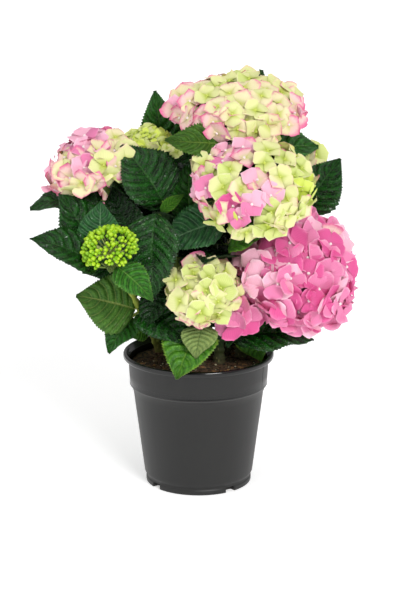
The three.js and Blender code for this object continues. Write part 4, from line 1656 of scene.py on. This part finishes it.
    @staticmethod
    def bead() -> tuple[Array, Array, list[Array]]:
        """Shapes a floret's bead, a small dome of six sides.

        Returns:
            Its vertices, their places in a unit square, and its faces.
        """
        around = np.arange(6) * math.pi / 3
        ring = np.stack([np.cos(around), np.sin(around)], axis=1)
        low = np.column_stack([ring, np.full(6, -0.2)])
        high = np.column_stack([ring * 0.78, np.full(6, 0.75)])
        points = np.concatenate([low, high, [[0, 0, 1.15]]])
        step, ahead = np.arange(6), (np.arange(6) + 1) % 6
        crown = np.stack([step + 6, ahead + 6, np.full(6, 12)], axis=1)
        places = np.column_stack([points[:, 2] * 0.4 + 0.1, np.append(np.tile(around / 6.3, 2), 0.5)])
        return points, places, [ring_faces(2, 6), crown]

    def stalks(self) -> Bundle:
        """Gathers the florets' stalks and the dark ball of painted shade that they spring from.

        Returns:
            The bundle.
        """
        luck = np.random.default_rng(900 + self.number)
        hub = Vector((0, 0, -self.head.height * self.hub_depth))
        bundle, place = Bundle(), self.place
        for centre, facing in zip(self.centres, self.facings):
            start = Vector(centre) - Vector(facing) * 0.3
            bow = start - Vector(facing) * self.stalk_run
            line = curved(place @ start, place @ bow, place @ start.lerp(hub, 0.7), 5)
            tone = StalkTone.PALE if luck.random() < self.pale_stalks else StalkTone.GREEN
            bundle.add_tube(line, np.linspace(*self.stalk_radius, 5), 5, tone.cell)
        self.shade_ball(bundle, luck)
        return bundle

    def shade_ball(self, bundle: Bundle, luck: Luck) -> None:
        """Adds a dark lumpy ball inside the head, a painted shade that darkens the gaps between the
        florets.

        Args:
            bundle: What it is added to.
            luck: The source of its lumps.
        """
        head = self.head
        rings, sides = self.shade_ball_rings + 2, self.shade_ball_sides
        lumps = 1 + self.shade_ball_lumps * luck.uniform(-1, 1, (rings, sides))
        tip = np.linspace(0, math.pi, rings)[:, None]
        turn = np.arange(sides)[None, :] * 2 * math.pi / sides
        size = head.radius * self.shade_ball_share * lumps * np.sin(tip)
        heights = np.where(np.cos(tip) > 0, head.height, head.height * UNDERSIDE) * self.shade_ball_share
        ball = np.stack([size * np.cos(turn), size * np.sin(turn), np.cos(tip) * heights * lumps], axis=-1)
        poles = [[0, 0, heights[0, 0]], [0, 0, -heights[-1, 0]]]
        local = np.concatenate([ball[1:-1].reshape(-1, 3), poles])
        places = np.column_stack([local[:, 2] / head.height, local[:, 0] / head.radius]) / 2 + 0.5
        # The ball is painted deep crimson in warm heads and dark green in the others, as painted shade.
        cell = (StalkTone.SHADE_CRIMSON if head.blush.warmth > self.crimson_shade_ball_from else StalkTone.DARK).cell
        faces = ball_faces(self.shade_ball_rings, sides, True)
        uv = STALK_ATLAS.spread(cell, np.clip(places, 0, 1))
        bundle.add(moved(np.array(self.place), local), uv, faces, cell)

    def build(self, petal_finishes: list[Material], stalk_finishes: list[Material]) -> None:
        """Builds the head's two pieces.

        Args:
            petal_finishes: The sepal and bead materials.
            stalk_finishes: The stalk materials.
        """
        name = self.stem.name
        slot = "petal_pink" if self.head.blush.warmth > self.crimson_shade_from else "petal_cream"
        register(self.blossom().build("florets_" + name, petal_finishes, UNSPLIT), slot, "flowers_" + name)
        register(self.stalks().build("stalks_" + name, stalk_finishes), "green_cane", "flowers_" + name)


@dataclass
class BudCluster:
    """The young green head: groups of closed buds on fine stalks."""

    stem: Stem
    bright: PlainFinish = PlainFinish("a2cc14", "c8ea3e", 0.4, 3.0)
    green: PlainFinish = PlainFinish("78ac0c", "9ccc20", 0.45, 3.0)
    green_share: float = 0.4
    bud_radius: float = 2.8
    bud_sizes: Pair = (0.72, 1.15)
    bud_stretch: Pair = (0.85, 1.6)
    bud_lift: Pair = (-1.2, 1.6)
    bud_lean: float = 0.06
    groups: int = 27
    group_size: int = 7
    group_reach: float = 5.6
    reach_spread: Pair = (0.75, 1.1)
    dome_share: float = 0.93
    fork_depth: float = 6.0
    hub_depth: float = 0.45
    sides: int = 8
    bough_radii: Triple = (1.2, 1.0, 0.9)
    twig_radii: Triple = (0.7, 0.6, 0.6)

    def bud(self) -> tuple[Array, Array, list[Array]]:
        """Shapes one bud, a small ball of four lobes that close over it.

        Returns:
            Its vertices, their places in a unit square, and its faces.
        """
        heights = np.array([-0.9, -0.45, 0.2, 0.7, 0.95])[:, None]
        widths = np.array([0.35, 0.88, 1.0, 0.72, 0.3])[:, None]
        around = np.arange(self.sides) * 2 * math.pi / self.sides
        out = widths * (1 - 0.2 * (np.cos(4 * around) < 0) * (heights > 0))
        ball = np.broadcast_arrays(out * np.cos(around), out * np.sin(around), heights)
        points = np.concatenate([np.stack(ball, axis=-1).reshape(-1, 3), [[0, 0, -1.0], [0, 0, 0.8]]])
        places = np.column_stack([(points[:, 2] + 1) / 2, (points[:, 0] + 1) / 2])
        return points, places, ball_faces(len(heights), self.sides)

    def gather(self, buds: Bundle, stalks: Bundle) -> None:
        """Sets the groups of buds on the dome, each bud on a twig of its group's stalk.

        Args:
            buds: What the buds are added to.
            stalks: What their stalks are added to.
        """
        head = self.stem.head
        place = np.array(head.frame())
        luck = np.random.default_rng(77)
        shape, places, faces = self.bud()
        edge = math.cos(math.radians(BUD_EDGE))
        hub = np.array([0, 0, -head.height * self.hub_depth])
        last = self.group_size - 1
        for i in range(self.groups):
            angle = math.degrees(math.acos(1 - (i + 0.5) / self.groups * (1 - edge)))
            turn = i * GOLDEN_TURN + luck.uniform(0, TURN_SPREAD)
            middle, normal = head.dome(angle, turn, self.dome_share)
            fork = np.array(middle - normal * self.fork_depth)
            turns = upright(np.array(normal)[None])[0]
            line = moved(place, np.array([hub, (hub + fork) / 2, fork]))
            stalks.add_tube(line, np.array(self.bough_radii), 6, 1)
            for j in range(self.group_size):
                around = j * 2 * math.pi / last + luck.uniform(-0.3, 0.3)
                out = 0.0 if j == last else self.group_reach * luck.uniform(*self.reach_spread)
                up = luck.uniform(*self.bud_lift) - 0.16 * out + (1.0 if out == 0.0 else 0.0)
                aside = np.array([math.cos(around), math.sin(around), 0]) * out
                spot = np.array(middle) + turns @ (aside + (0, 0, up))
                lean = np.array(normal) + turns @ aside * self.bud_lean
                lean /= np.linalg.norm(lean)
                size = self.bud_radius * luck.uniform(*self.bud_sizes)
                stretch = np.array([1.0, 1.0, luck.uniform(*self.bud_stretch)])
                local = shape * size * stretch @ upright(lean[None])[0].T + spot
                kind = int(luck.random() < self.green_share)
                buds.add(moved(place, local), STALK_ATLAS.spread(kind, places), faces, kind)
                line = moved(place, np.array([fork, (fork + spot) / 2, spot]))
                stalks.add_tube(line, np.array(self.twig_radii), 4, 0)

    def build(self, stalk_finishes: list[Material]) -> None:
        """Builds the cluster's two pieces: its buds and its stalks.

        Args:
            stalk_finishes: The stalk materials.
        """
        bright = self.bright.material("bud_bright", STALK_ATLAS, 0)
        green = self.green.material("bud_green", STALK_ATLAS, 1)
        buds, stalks = Bundle(), Bundle()
        self.gather(buds, stalks)
        name = self.stem.name
        register(buds.build("bud_cluster", [bright, green], 50), "bud_green", "flowers_" + name)
        register(stalks.build("stalks_" + name, stalk_finishes), "green_cane", "flowers_" + name)


@dataclass(frozen=True)
class BarkFinish:
    """The finish of a cane: green above, tan and corky towards the soil, with pale pores."""

    green: str = "4a6428"
    tan: str = "474326"
    pore: str = "86824e"
    furrow: str = "2a2c14"
    woody_to: Pair = (0.165, 0.2)

    def material(self, name: str) -> Material:
        """Makes the material of the canes.

        Args:
            name: The material's name.

        Returns:
            The material.
        """
        graph = Graph(name)
        own = graph.place((1, 1, 1))
        up = graph.axes(own)[2]
        streaks = graph.noise(graph.place((1, 1, 0.12)), 420.0, 5.0, 0.6)
        cloud = graph.noise(own, 60.0, 3.0)
        pores = 1.0 - graph.cells(graph.place((1, 1, 0.45)), 260.0).ease(0.12, 0.3)
        woody = 1.0 - (up + 0.02 * cloud).ease(*self.woody_to)
        colour = graph.blend(woody, srgb(self.green), srgb(self.tan))
        colour = graph.blend(streaks.ease(0.5, 0.75) * (0.25 + 0.5 * woody), colour, srgb(self.furrow))
        colour = graph.blend(pores * 0.7, colour, srgb(self.pore))
        relief = graph.bump(streaks * 0.7 + pores * 0.6, 0.5, 0.7)
        return graph.surface(Base_Color=colour, Roughness=0.55 + 0.25 * woody, Normal=relief)


@dataclass
class Cane:
    """The bare lower part of a stem, with its joints and its bark's relief."""

    stem: Stem
    joints: Pair = (0.32, 0.8)
    joint_swell: float = 1.1
    joint_height: float = 2.4
    rings: int = 72
    overlap: float = 1.5
    relief: float = 0.35
    relief_size: float = 4.0

    def build(self, finish: Material) -> None:
        """Draws the cane as a swept curve, turns it into a mesh and raises its bark.

        Args:
            finish: The bark's material.
        """
        path = StemPath(self.stem)
        bpy.ops.curve.primitive_bezier_curve_add()
        cane = bpy.context.object
        cane.name = cane.data.name = "bark_" + self.stem.name
        data = cane.data
        data.splines.clear()
        line = data.splines.new("POLY")
        line.points.add(self.rings - 1)
        end = self.stem.leafy + self.overlap / path.length
        spots = [lerp(0, self.stem.leafy, joint) for joint in self.joints]
        for point, share in zip(line.points, np.linspace(0, end, self.rings)):
            near = min(abs(share - spot) for spot in spots) * path.length / self.joint_height
            swell = self.joint_swell * math.exp(-near * near)
            point.co = (*(path.at(share) * MM), 1.0)
            point.radius = (path.radius(share) + swell) * MM
        data.dimensions = "3D"
        data.bevel_depth = 1.0
        data.bevel_resolution = 5
        data.use_fill_caps = True
        only(cane)
        bpy.ops.object.convert(target="MESH")
        relief = {"texture": clouds("bark_relief", self.relief_size), "strength": self.relief * MM}
        finish_with(cane, "DISPLACE", texture_coords="LOCAL", **relief)
        dress(cane, finish, 50)
        register(cane, "green_cane", "cane_" + self.stem.name)


def clouds(name: str, size: float, depth: int = 2) -> bpy.types.Texture:
    """Makes a cloudy texture for relief.

    Args:
        name: Its name.
        size: The size of its clouds.
        depth: How often they are broken up.

    Returns:
        The texture.
    """
    texture = bpy.data.textures.new(name, "CLOUDS")
    texture.noise_scale = size * MM
    texture.noise_depth = depth
    return texture


def finish_with(piece: Piece, kind: str, **settings: object) -> None:
    """Puts a modifier on a piece and applies it.

    Args:
        piece: The piece.
        kind: The modifier's type.
        **settings: Its attributes by name.
    """
    modifier = piece.modifiers.new(kind.lower(), kind)
    for key, value in settings.items():
        setattr(modifier, key, value)
    only(piece)
    bpy.ops.object.modifier_apply(modifier=modifier.name)


def dress(piece: Piece, finish: Material, angle: float) -> None:
    """Gives a piece its one material, and shades it smooth.

    Args:
        piece: The piece.
        finish: The material.
        angle: The sharpest angle that is shaded smooth.
    """
    piece.data.materials.clear()
    piece.data.materials.append(finish)
    only(piece)
    bpy.ops.object.shade_smooth_by_angle(angle=math.radians(angle))


def raise_rings(profile: Sequence[Pair], segments: int, name: str) -> Piece:
    """Draws out a ring into a closed body of revolution.

    Args:
        profile: The radius and height of each ring, in order.
        segments: The number of sides.
        name: The object's name.

    Returns:
        The object, in object mode.
    """
    radius, height = profile[0]
    bpy.ops.mesh.primitive_circle_add(vertices=segments, radius=radius * MM, location=(0, 0, height * MM))
    made = bpy.context.object
    made.name = made.data.name = name
    bpy.ops.object.transform_apply(location=True, rotation=True, scale=True)
    bpy.ops.object.mode_set(mode="EDIT")
    bpy.ops.mesh.select_all(action="SELECT")
    bpy.ops.mesh.edge_face_add()
    bpy.ops.mesh.select_mode(type="EDGE")
    for (before, low), (after, high) in zip(profile, profile[1:]):
        bpy.ops.mesh.extrude_edges_move(TRANSFORM_OT_translate={"value": (0, 0, (high - low) * MM)})
        scale = after / before
        bpy.ops.transform.resize(value=(scale, scale, 1), center_override=(0, 0, 0))
    bpy.ops.mesh.edge_face_add()
    bpy.ops.mesh.select_all(action="SELECT")
    bpy.ops.mesh.remove_doubles(threshold=SAME_PLACE * MM)
    bpy.ops.mesh.normals_make_consistent(inside=False)
    bpy.ops.object.mode_set(mode="OBJECT")
    return made


def rounded_block(size: Triple, edge: float, steps: int, place: Matrix) -> Piece:
    """Makes a block with rounded edges.

    Args:
        size: Its length, breadth and height.
        edge: How much its edges are rounded.
        steps: The number of facets across an edge.
        place: Where its middle goes, in metres.

    Returns:
        The block.
    """
    bpy.ops.mesh.primitive_cube_add(size=1, scale=Vector(size) * MM)
    block = bpy.context.object
    bpy.ops.object.transform_apply(location=True, rotation=True, scale=True)
    bpy.ops.object.mode_set(mode="EDIT")
    bpy.ops.mesh.select_all(action="SELECT")
    bpy.ops.mesh.bevel(offset=edge * MM, segments=steps)
    bpy.ops.object.mode_set(mode="OBJECT")
    block.data.transform(place)
    return block


@dataclass(frozen=True)
class PlasticFinish:
    """Matt charcoal plastic with fine flow lines and a glossier rim. Its places are in metres."""

    body: str = "0a0a09"
    worn: str = "161615"
    # The rim's near-black, also painted on the upper inside wall as painted shade.
    lip: str = "050505"
    # The pale colour of the painted highlight along the collar's lower edge.
    edge: str = "6c6c6a"
    dust: str = "4a463f"
    lip_from: Pair = (0.1618, 0.1626)
    # Where the upper inside wall is painted near-black, as painted shade.
    inside_from: Pair = (0.0866, 0.0874)
    inside_above: Pair = (0.128, 0.13)
    # The height, half width and strength of that painted highlight line.
    ledge_height: float = 0.1286
    ledge_half: Pair = (0.0005, 0.0011)
    ledge_highlight: float = 0.22

    def material(self) -> Material:
        """Makes the pot's material.

        Returns:
            The material.
        """
        graph = Graph("pot_plastic")
        own = graph.place((1, 1, 1))
        east, north, up = graph.axes(own)
        out = (east * east + north * north) ** 0.5
        inside = (1.0 - out.ease(*self.inside_from)) * up.ease(*self.inside_above)
        flow = graph.noise(graph.place((1, 1, 0.06)), 90.0, 4.0)
        grain = graph.noise(own, 900.0, 2.0)
        cloud = graph.noise(own, 14.0, 4.0)
        # The rim is darker and glossier, and the upper inside wall takes the same near-black as painted
        # shade.
        lip = up.ease(*self.lip_from).most(inside)
        # Painted highlight: a thin pale line along the collar's lower edge.
        ledge_highlight_mask = 1.0 - abs(up - self.ledge_height).ease(*self.ledge_half)
        colour = graph.blend(cloud.ease(0.35, 0.7) * 0.45, srgb(self.body), srgb(self.worn))
        scuffs = graph.noise(graph.place((1, 1, 0.4)), 160.0, 5.0, 0.7).ease(0.66, 0.8)
        colour = graph.blend(scuffs * 0.2, colour, srgb(self.dust))
        colour = graph.blend(ledge_highlight_mask * self.ledge_highlight, colour, srgb(self.edge))
        colour = graph.blend(lip, colour, srgb(self.lip))
        gloss = 0.38 + 0.1 * cloud + 0.1 * flow - 0.33 * lip
        relief = graph.bump((grain * 0.6 + flow * 0.8) * (1.0 - 0.9 * lip), 0.12, 0.5)
        return graph.surface(Base_Color=colour, Roughness=gloss, Normal=relief)


@dataclass
class Pot:
    """The nursery pot: rolled lip, collar, conical body, stepped foot and drainage notches."""

    segments: int = 144
    notch_count: int = 4
    notch_turn: float = -143.0
    notch_size: Triple = (18.0, 14.0, 13.0)
    notch_edge: float = 2.0
    foot_radius: float = 66.8
    seam_turn: float = -24.0
    seam_size: Triple = (0.9, 0.7, 31.0)
    seam_edge: float = 0.25
    seam_place: Triple = (87.3, 0.0, 145.5)
    seam_lean: Pair = (1.9, 30.0)
    edge: float = 0.35
    outside: tuple[Pair, ...] = (
        (3.0, 1.4), (18.0, 1.4), (19.2, 0.6), (20.0, 0.0), (58.0, 0.0), (65.8, 0.0), (66.6, 0.3),
        (66.8, 1.0), (66.8, 5.0), (66.6, 5.8), (66.0, 6.4), (65.8, 7.2), (65.8, 8.6), (66.1, 9.4),
        (67.9, 12.0), (68.6, 13.2), (68.9, 15.5), (72.3, 42.0), (76.1, 72.0), (79.9, 101.0),
        (81.9, 117.8), (82.4, 119.6), (83.3, 122.6), (85.4, 127.2), (86.3, 128.0), (87.0, 128.8),
        (87.1, 130.0), (86.7, 131.0), (87.2, 140.0), (88.3, 159.0), (88.6, 161.2), (89.3, 162.1),
        (92.8, 162.3), (94.3, 162.7), (94.9, 163.6), (95.0, 165.0), (94.9, 166.6), (94.4, 167.9),
        (93.5, 168.7), (92.4, 169.0), (91.4, 168.8), (90.7, 168.1),
    )
    inside: tuple[Pair, ...] = (
        (90.1, 166.5), (89.0, 164.4), (87.2, 162.6), (86.4, 160.5), (85.2, 144.0), (84.2, 129.2),
        (80.5, 121.0), (73.5, 66.0), (66.7, 13.5), (64.2, 5.0), (60.0, 4.1), (12.0, 4.0),
    )

    def notch(self, number: int) -> Piece:
        """Makes the block that cuts one drainage notch.

        Args:
            number: The notch's number.

        Returns:
            The block.
        """
        turn = math.radians(self.notch_turn + 360 * number / self.notch_count)
        place = Matrix.Rotation(turn, 4, "Z") @ Matrix.Translation((self.foot_radius * MM, 0, 0))
        return rounded_block(self.notch_size, self.notch_edge, 3, place)

    def seam(self) -> Piece:
        """Makes the raised moulding line that runs up the collar.

        Returns:
            The line.
        """
        turn = Matrix.Rotation(math.radians(self.seam_turn), 4, "Z")
        lean = Matrix.Rotation(math.atan2(*self.seam_lean), 4, "Y")
        place = turn @ Matrix.Translation(Vector(self.seam_place) * MM) @ lean
        return rounded_block(self.seam_size, self.seam_edge, 2, place)

    def build(self) -> None:
        """Raises the pot from its rings, cuts its notches and rounds its edges."""
        shell = raise_rings((*self.outside, *self.inside), self.segments, "pot_shell")
        for number in range(self.notch_count):
            block = self.notch(number)
            finish_with(shell, "BOOLEAN", operation="DIFFERENCE", solver="EXACT", object=block)
            bpy.data.objects.remove(block)
        line = self.seam()
        only(shell)
        line.select_set(True)
        bpy.ops.object.join()
        sharp = {"limit_method": "ANGLE", "angle_limit": math.radians(40)}
        finish_with(shell, "BEVEL", width=self.edge * MM, segments=2, **sharp)
        dress(shell, PlasticFinish().material(), 35)
        register(shell, "pot_plastic", "pot")


@dataclass(frozen=True)
class EarthFinish:
    """Damp dark peat."""

    dark: str = "160f09"
    light: str = "846642"
    roughness: float = 0.95

    def material(self) -> Material:
        """Makes the soil's material.

        Returns:
            The material.
        """
        graph = Graph("peat")
        crumbs = graph.noise(graph.place((1, 1, 1)), 180.0, 6.0, 0.7)
        fibres = graph.noise(graph.place((1, 0.2, 1)), 400.0, 4.0, 0.7)
        colour = graph.blend(crumbs.ease(0.4, 0.68), srgb(self.dark), srgb(self.light))
        relief = graph.bump(crumbs + 0.5 * fibres, 2.0, 1.0)
        return graph.surface(Base_Color=colour, Roughness=self.roughness, Normal=relief)


@dataclass(frozen=True)
class Litter:
    """One kind of thing that lies on the soil."""

    name: str
    count: int
    sizes: Pair
    stretch: Triple
    finish: PlainFinish
    in_front: bool = False


@dataclass
class SoilBed:
    """The filling of the pot: a lumpy bed with crumbs of peat, chips of bark and beads of perlite."""

    segments: int = 96
    top: float = 154.5
    lump: float = 5.0
    lump_size: float = 9.0
    lump_middle: float = 0.55
    lower: tuple[Pair, ...] = (
        (3.0, 4.6), (59.0, 4.6), (63.4, 5.4), (66.0, 14.0), (79.8, 121.0), (83.6, 129.6),
    )
    shoulder: tuple[Pair, ...] = (
        (85.2, 152.0), (84.8, 154.4), (82.4, 155.4), (79.0, 155.6), (76.0, 155.4), (73.0, 155.0),
        (69.5, 154.6),
    )
    level: tuple[float, ...] = (*range(66, 2, -4), 2.5)
    litter_radius: float = 82.0
    litter_level: float = 154.6
    level_to: float = 70.0
    litter_sides: int = 7
    litter_rings: int = 4
    front_share: float = 0.7
    front_turns: Pair = (-1.25, -0.2)
    front_radii: Pair = (48.0, 80.0)
    kinds: tuple[Litter, ...] = (
        Litter("peat_crumb", 420, (1.0, 3.0), (1.0, 0.9, 0.75), PlainFinish("38281a", "6b5138", 0.95)),
        Litter("bark_dark", 120, (2.4, 5.2), (1.7, 0.8, 0.34), PlainFinish("5a3d28", "38251a", 0.85)),
        Litter("bark_red", 70, (1.6, 3.6), (1.5, 0.7, 0.4), PlainFinish("7e5534", "a8814f", 0.8), True),
        Litter("perlite", 110, (0.6, 1.5), (1.0, 0.95, 0.8), PlainFinish("b5aa84", "d8d2bc", 0.8)),
    )

    def bed(self) -> None:
        """Raises the bed and breaks up its surface."""
        rings = (*self.lower, *self.shoulder, *((float(radius), self.top) for radius in self.level))
        bed = raise_rings(rings, self.segments, "soil_bed")
        group = bed.vertex_groups.new(name="top")
        group.add([v.index for v in bed.data.vertices if v.co.z > 150 * MM], 1.0, "REPLACE")
        relief = {"texture": clouds("soil_lumps", self.lump_size, 4), "strength": self.lump * MM}
        relief |= {"mid_level": self.lump_middle, "direction": "Z", "vertex_group": "top"}
        finish_with(bed, "DISPLACE", **relief)
        dress(bed, EarthFinish().material(), 70)
        register(bed, "potting_soil", "soil")

    def lump_shape(self, luck: Luck) -> Array:
        """Shapes one irregular lump of unit size.

        Args:
            luck: The source of its shape.

        Returns:
            Its points.
        """
        tip = np.linspace(0, math.pi, self.litter_rings + 2)[1:-1, None]
        turn = np.arange(self.litter_sides)[None, :] * 2 * math.pi / self.litter_sides
        size = luck.uniform(0.7, 1.25, (self.litter_rings, self.litter_sides))
        level = size * np.sin(tip)
        ball = np.stack([level * np.cos(turn), level * np.sin(turn), size * np.cos(tip)], axis=-1)
        return np.concatenate([ball.reshape(-1, 3), [[0, 0, 1.0], [0, 0, -1.0]]])

    def strew(self, kind: Litter, number: int, bundle: Bundle, luck: Luck) -> None:
        """Strews one kind of litter over the bed.

        Args:
            kind: The kind.
            number: The number of its material.
            bundle: What it is added to.
            luck: The source of its places.
        """
        faces = ball_faces(self.litter_rings, self.litter_sides, True)
        for _ in range(kind.count):
            points = self.lump_shape(luck)
            radius = self.litter_radius * math.sqrt(luck.random())
            turn = luck.uniform(0, 2 * math.pi)
            if kind.in_front and luck.random() < self.front_share:
                turn = luck.uniform(*self.front_turns)
                radius = luck.uniform(*self.front_radii)
            size = luck.uniform(*kind.sizes) * np.array(kind.stretch)
            spin = Matrix.Rotation(luck.uniform(0, FULL_TURN), 3, "Z")
            spin = spin @ Matrix.Rotation(luck.uniform(-0.5, 0.5), 3, "X")
            ground = self.litter_level - max(0.0, radius - self.level_to) * 0.2
            place = (radius * math.cos(turn), radius * math.sin(turn), ground + 0.25 * size[2])
            uv = STALK_ATLAS.spread(number, np.clip((points[:, :2] + 1.3) / 2.6, 0, 1))
            bundle.add((points * size) @ np.array(spin).T + place, uv, faces, number)

    def build(self) -> None:
        """Builds the bed and its litter."""
        self.bed()
        luck = np.random.default_rng(31)
        bundle = Bundle()
        finishes = []
        for number, kind in enumerate(self.kinds):
            self.strew(kind, number, bundle, luck)
            finishes.append(kind.finish.material(kind.name, STALK_ATLAS, number))
        register(bundle.build("soil_litter", finishes, 35), "potting_soil")


@dataclass
class Studio:
    """A white room with a pale floor, soft lights and the camera at the photograph's angle."""

    floor_radius: float = 40.0
    floor_drop: float = 0.3
    floor_tones: tuple[str, str] = ("fafafa", "f7f7f7")
    zenith: float = 0.6
    horizon: float = 0.36
    sides: float = 0.6
    sides_from: Pair = (0.74, 0.95)
    floor_glow: float = 0.42
    key: float = 1.75
    key_from: Triple = (0.45, -1.0, 0.68)
    key_spread: float = 22.0
    fill: float = 0.45
    fill_from: Triple = (-1.0, -0.8, 0.6)
    fill_spread: float = 50.0
    lens: float = 113.8
    pitch: float = 15.0
    eye: Triple = (0.0025, -2.294, 0.849)

    def room(self) -> bpy.types.World:
        """Makes a white room that is brightest overhead and at both sides.

        Returns:
            The room.
        """
        graph = Graph("room", True)
        side, _, up = graph.axes(graph.node("ShaderNodeTexCoord").outputs["Generated"])
        glow = self.horizon + (self.zenith - self.horizon) * up.most(0.0)
        glow = glow + self.sides * abs(side).ease(*self.sides_from)
        sky = graph.node("ShaderNodeBackground", {"Strength": glow, "Color": WHITE})
        graph.node("ShaderNodeOutputWorld", {"Surface": sky.outputs[0]})
        return graph.owner

    def floor(self) -> None:
        """Lays the pale floor just under the pot."""
        bpy.ops.object.select_all(action="DESELECT")
        bpy.ops.mesh.primitive_circle_add(vertices=96, radius=self.floor_radius, fill_type="NGON")
        floor = bpy.context.object
        floor.name = "floor"
        floor.data.transform(Matrix.Translation((0, 0, -self.floor_drop * MM)))
        graph = Graph("pale_floor")
        first, second = (srgb(tone) for tone in self.floor_tones)
        pale = graph.blend(graph.noise(graph.place((1, 1, 1)), 2.0), first, second)
        lit = {"Emission_Color": WHITE, "Emission_Strength": self.floor_glow}
        floor.data.materials.append(graph.surface(Base_Color=pale, Roughness=0.9, **lit))

    @staticmethod
    def lamp(name: str, strength: float, place: Triple, spread: float) -> None:
        """Hangs a far, broad and soft lamp.

        Args:
            name: The lamp's name.
            strength: Its strength.
            place: Where it shines from.
            spread: How many degrees wide it looks.
        """
        light = bpy.data.lights.new(name, "SUN")
        light.energy = strength
        light.angle = math.radians(spread)
        holder = bpy.data.objects.new(name, light)
        holder.location = Vector(place) * 2
        holder.rotation_euler = (-Vector(place)).to_track_quat("-Z", "Y").to_euler()
        bpy.context.scene.collection.objects.link(holder)

    def camera(self) -> None:
        """Sets up the camera at the photograph's angle."""
        lens = bpy.data.cameras.new("view")
        lens.lens = self.lens
        lens.clip_end = 100
        camera = bpy.data.objects.new("view", lens)
        camera.location = self.eye
        camera.rotation_euler = (math.radians(90 - self.pitch), 0, 0)
        bpy.context.scene.collection.objects.link(camera)
        bpy.context.scene.camera = camera

    def build(self) -> None:
        """Sets up the room, the floor, the lights and the camera."""
        bpy.context.scene.world = self.room()
        bpy.context.scene.view_settings.view_transform = "Standard"
        self.floor()
        self.lamp("key", self.key, self.key_from, self.key_spread)
        self.lamp("fill", self.fill, self.fill_from, self.fill_spread)
        self.camera()


def write_sizes() -> None:
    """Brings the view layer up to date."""
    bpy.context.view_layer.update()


def main() -> None:
    """Builds the plant from the pot up."""
    logging.basicConfig(level=logging.INFO, format="%(message)s")
    bpy.ops.object.select_all(action="DESELECT")
    Studio().build()
    Pot().build()
    SoilBed().build()
    bark = BarkFinish().material("cane_bark")
    young_bark = BarkFinish("8f9c3a", "7d7c38", "b4ae6a", "50521f").material("cane_young")
    leaves = tone_materials("leaf", LeafTone, LEAF_ATLAS)
    petals = tone_materials("petal", PetalTone, PETAL_ATLAS)
    petals += [tone.material(name, PETAL_ATLAS, cell) for cell, (name, tone) in BEADS.items()]
    stalks = tone_materials("stalk", StalkTone, STALK_ATLAS)
    crowd = Crowd(heads=[(stem.head, stem.head.frame().inverted()) for stem in STEMS if stem.head])
    for stem in STEMS:
        Cane(stem).build(young_bark if stem.tone is StalkTone.GOLD else bark)
        path = StemPath(stem)
        for leaf in stem.leaves:
            crowd.join(crowd.sketch(leaf, path.at(leaf.at), BladeMould()), True)
    for number, stem in enumerate(STEMS):
        Foliage(stem, number, crowd).build(leaves, stalks)
        if stem.head and stem.head.buds:
            BudCluster(stem).build(stalks)
        elif stem.head:
            FlowerHead(stem, number).build(petals, stalks)
    write_sizes()


if __name__ == "__main__":
    main()
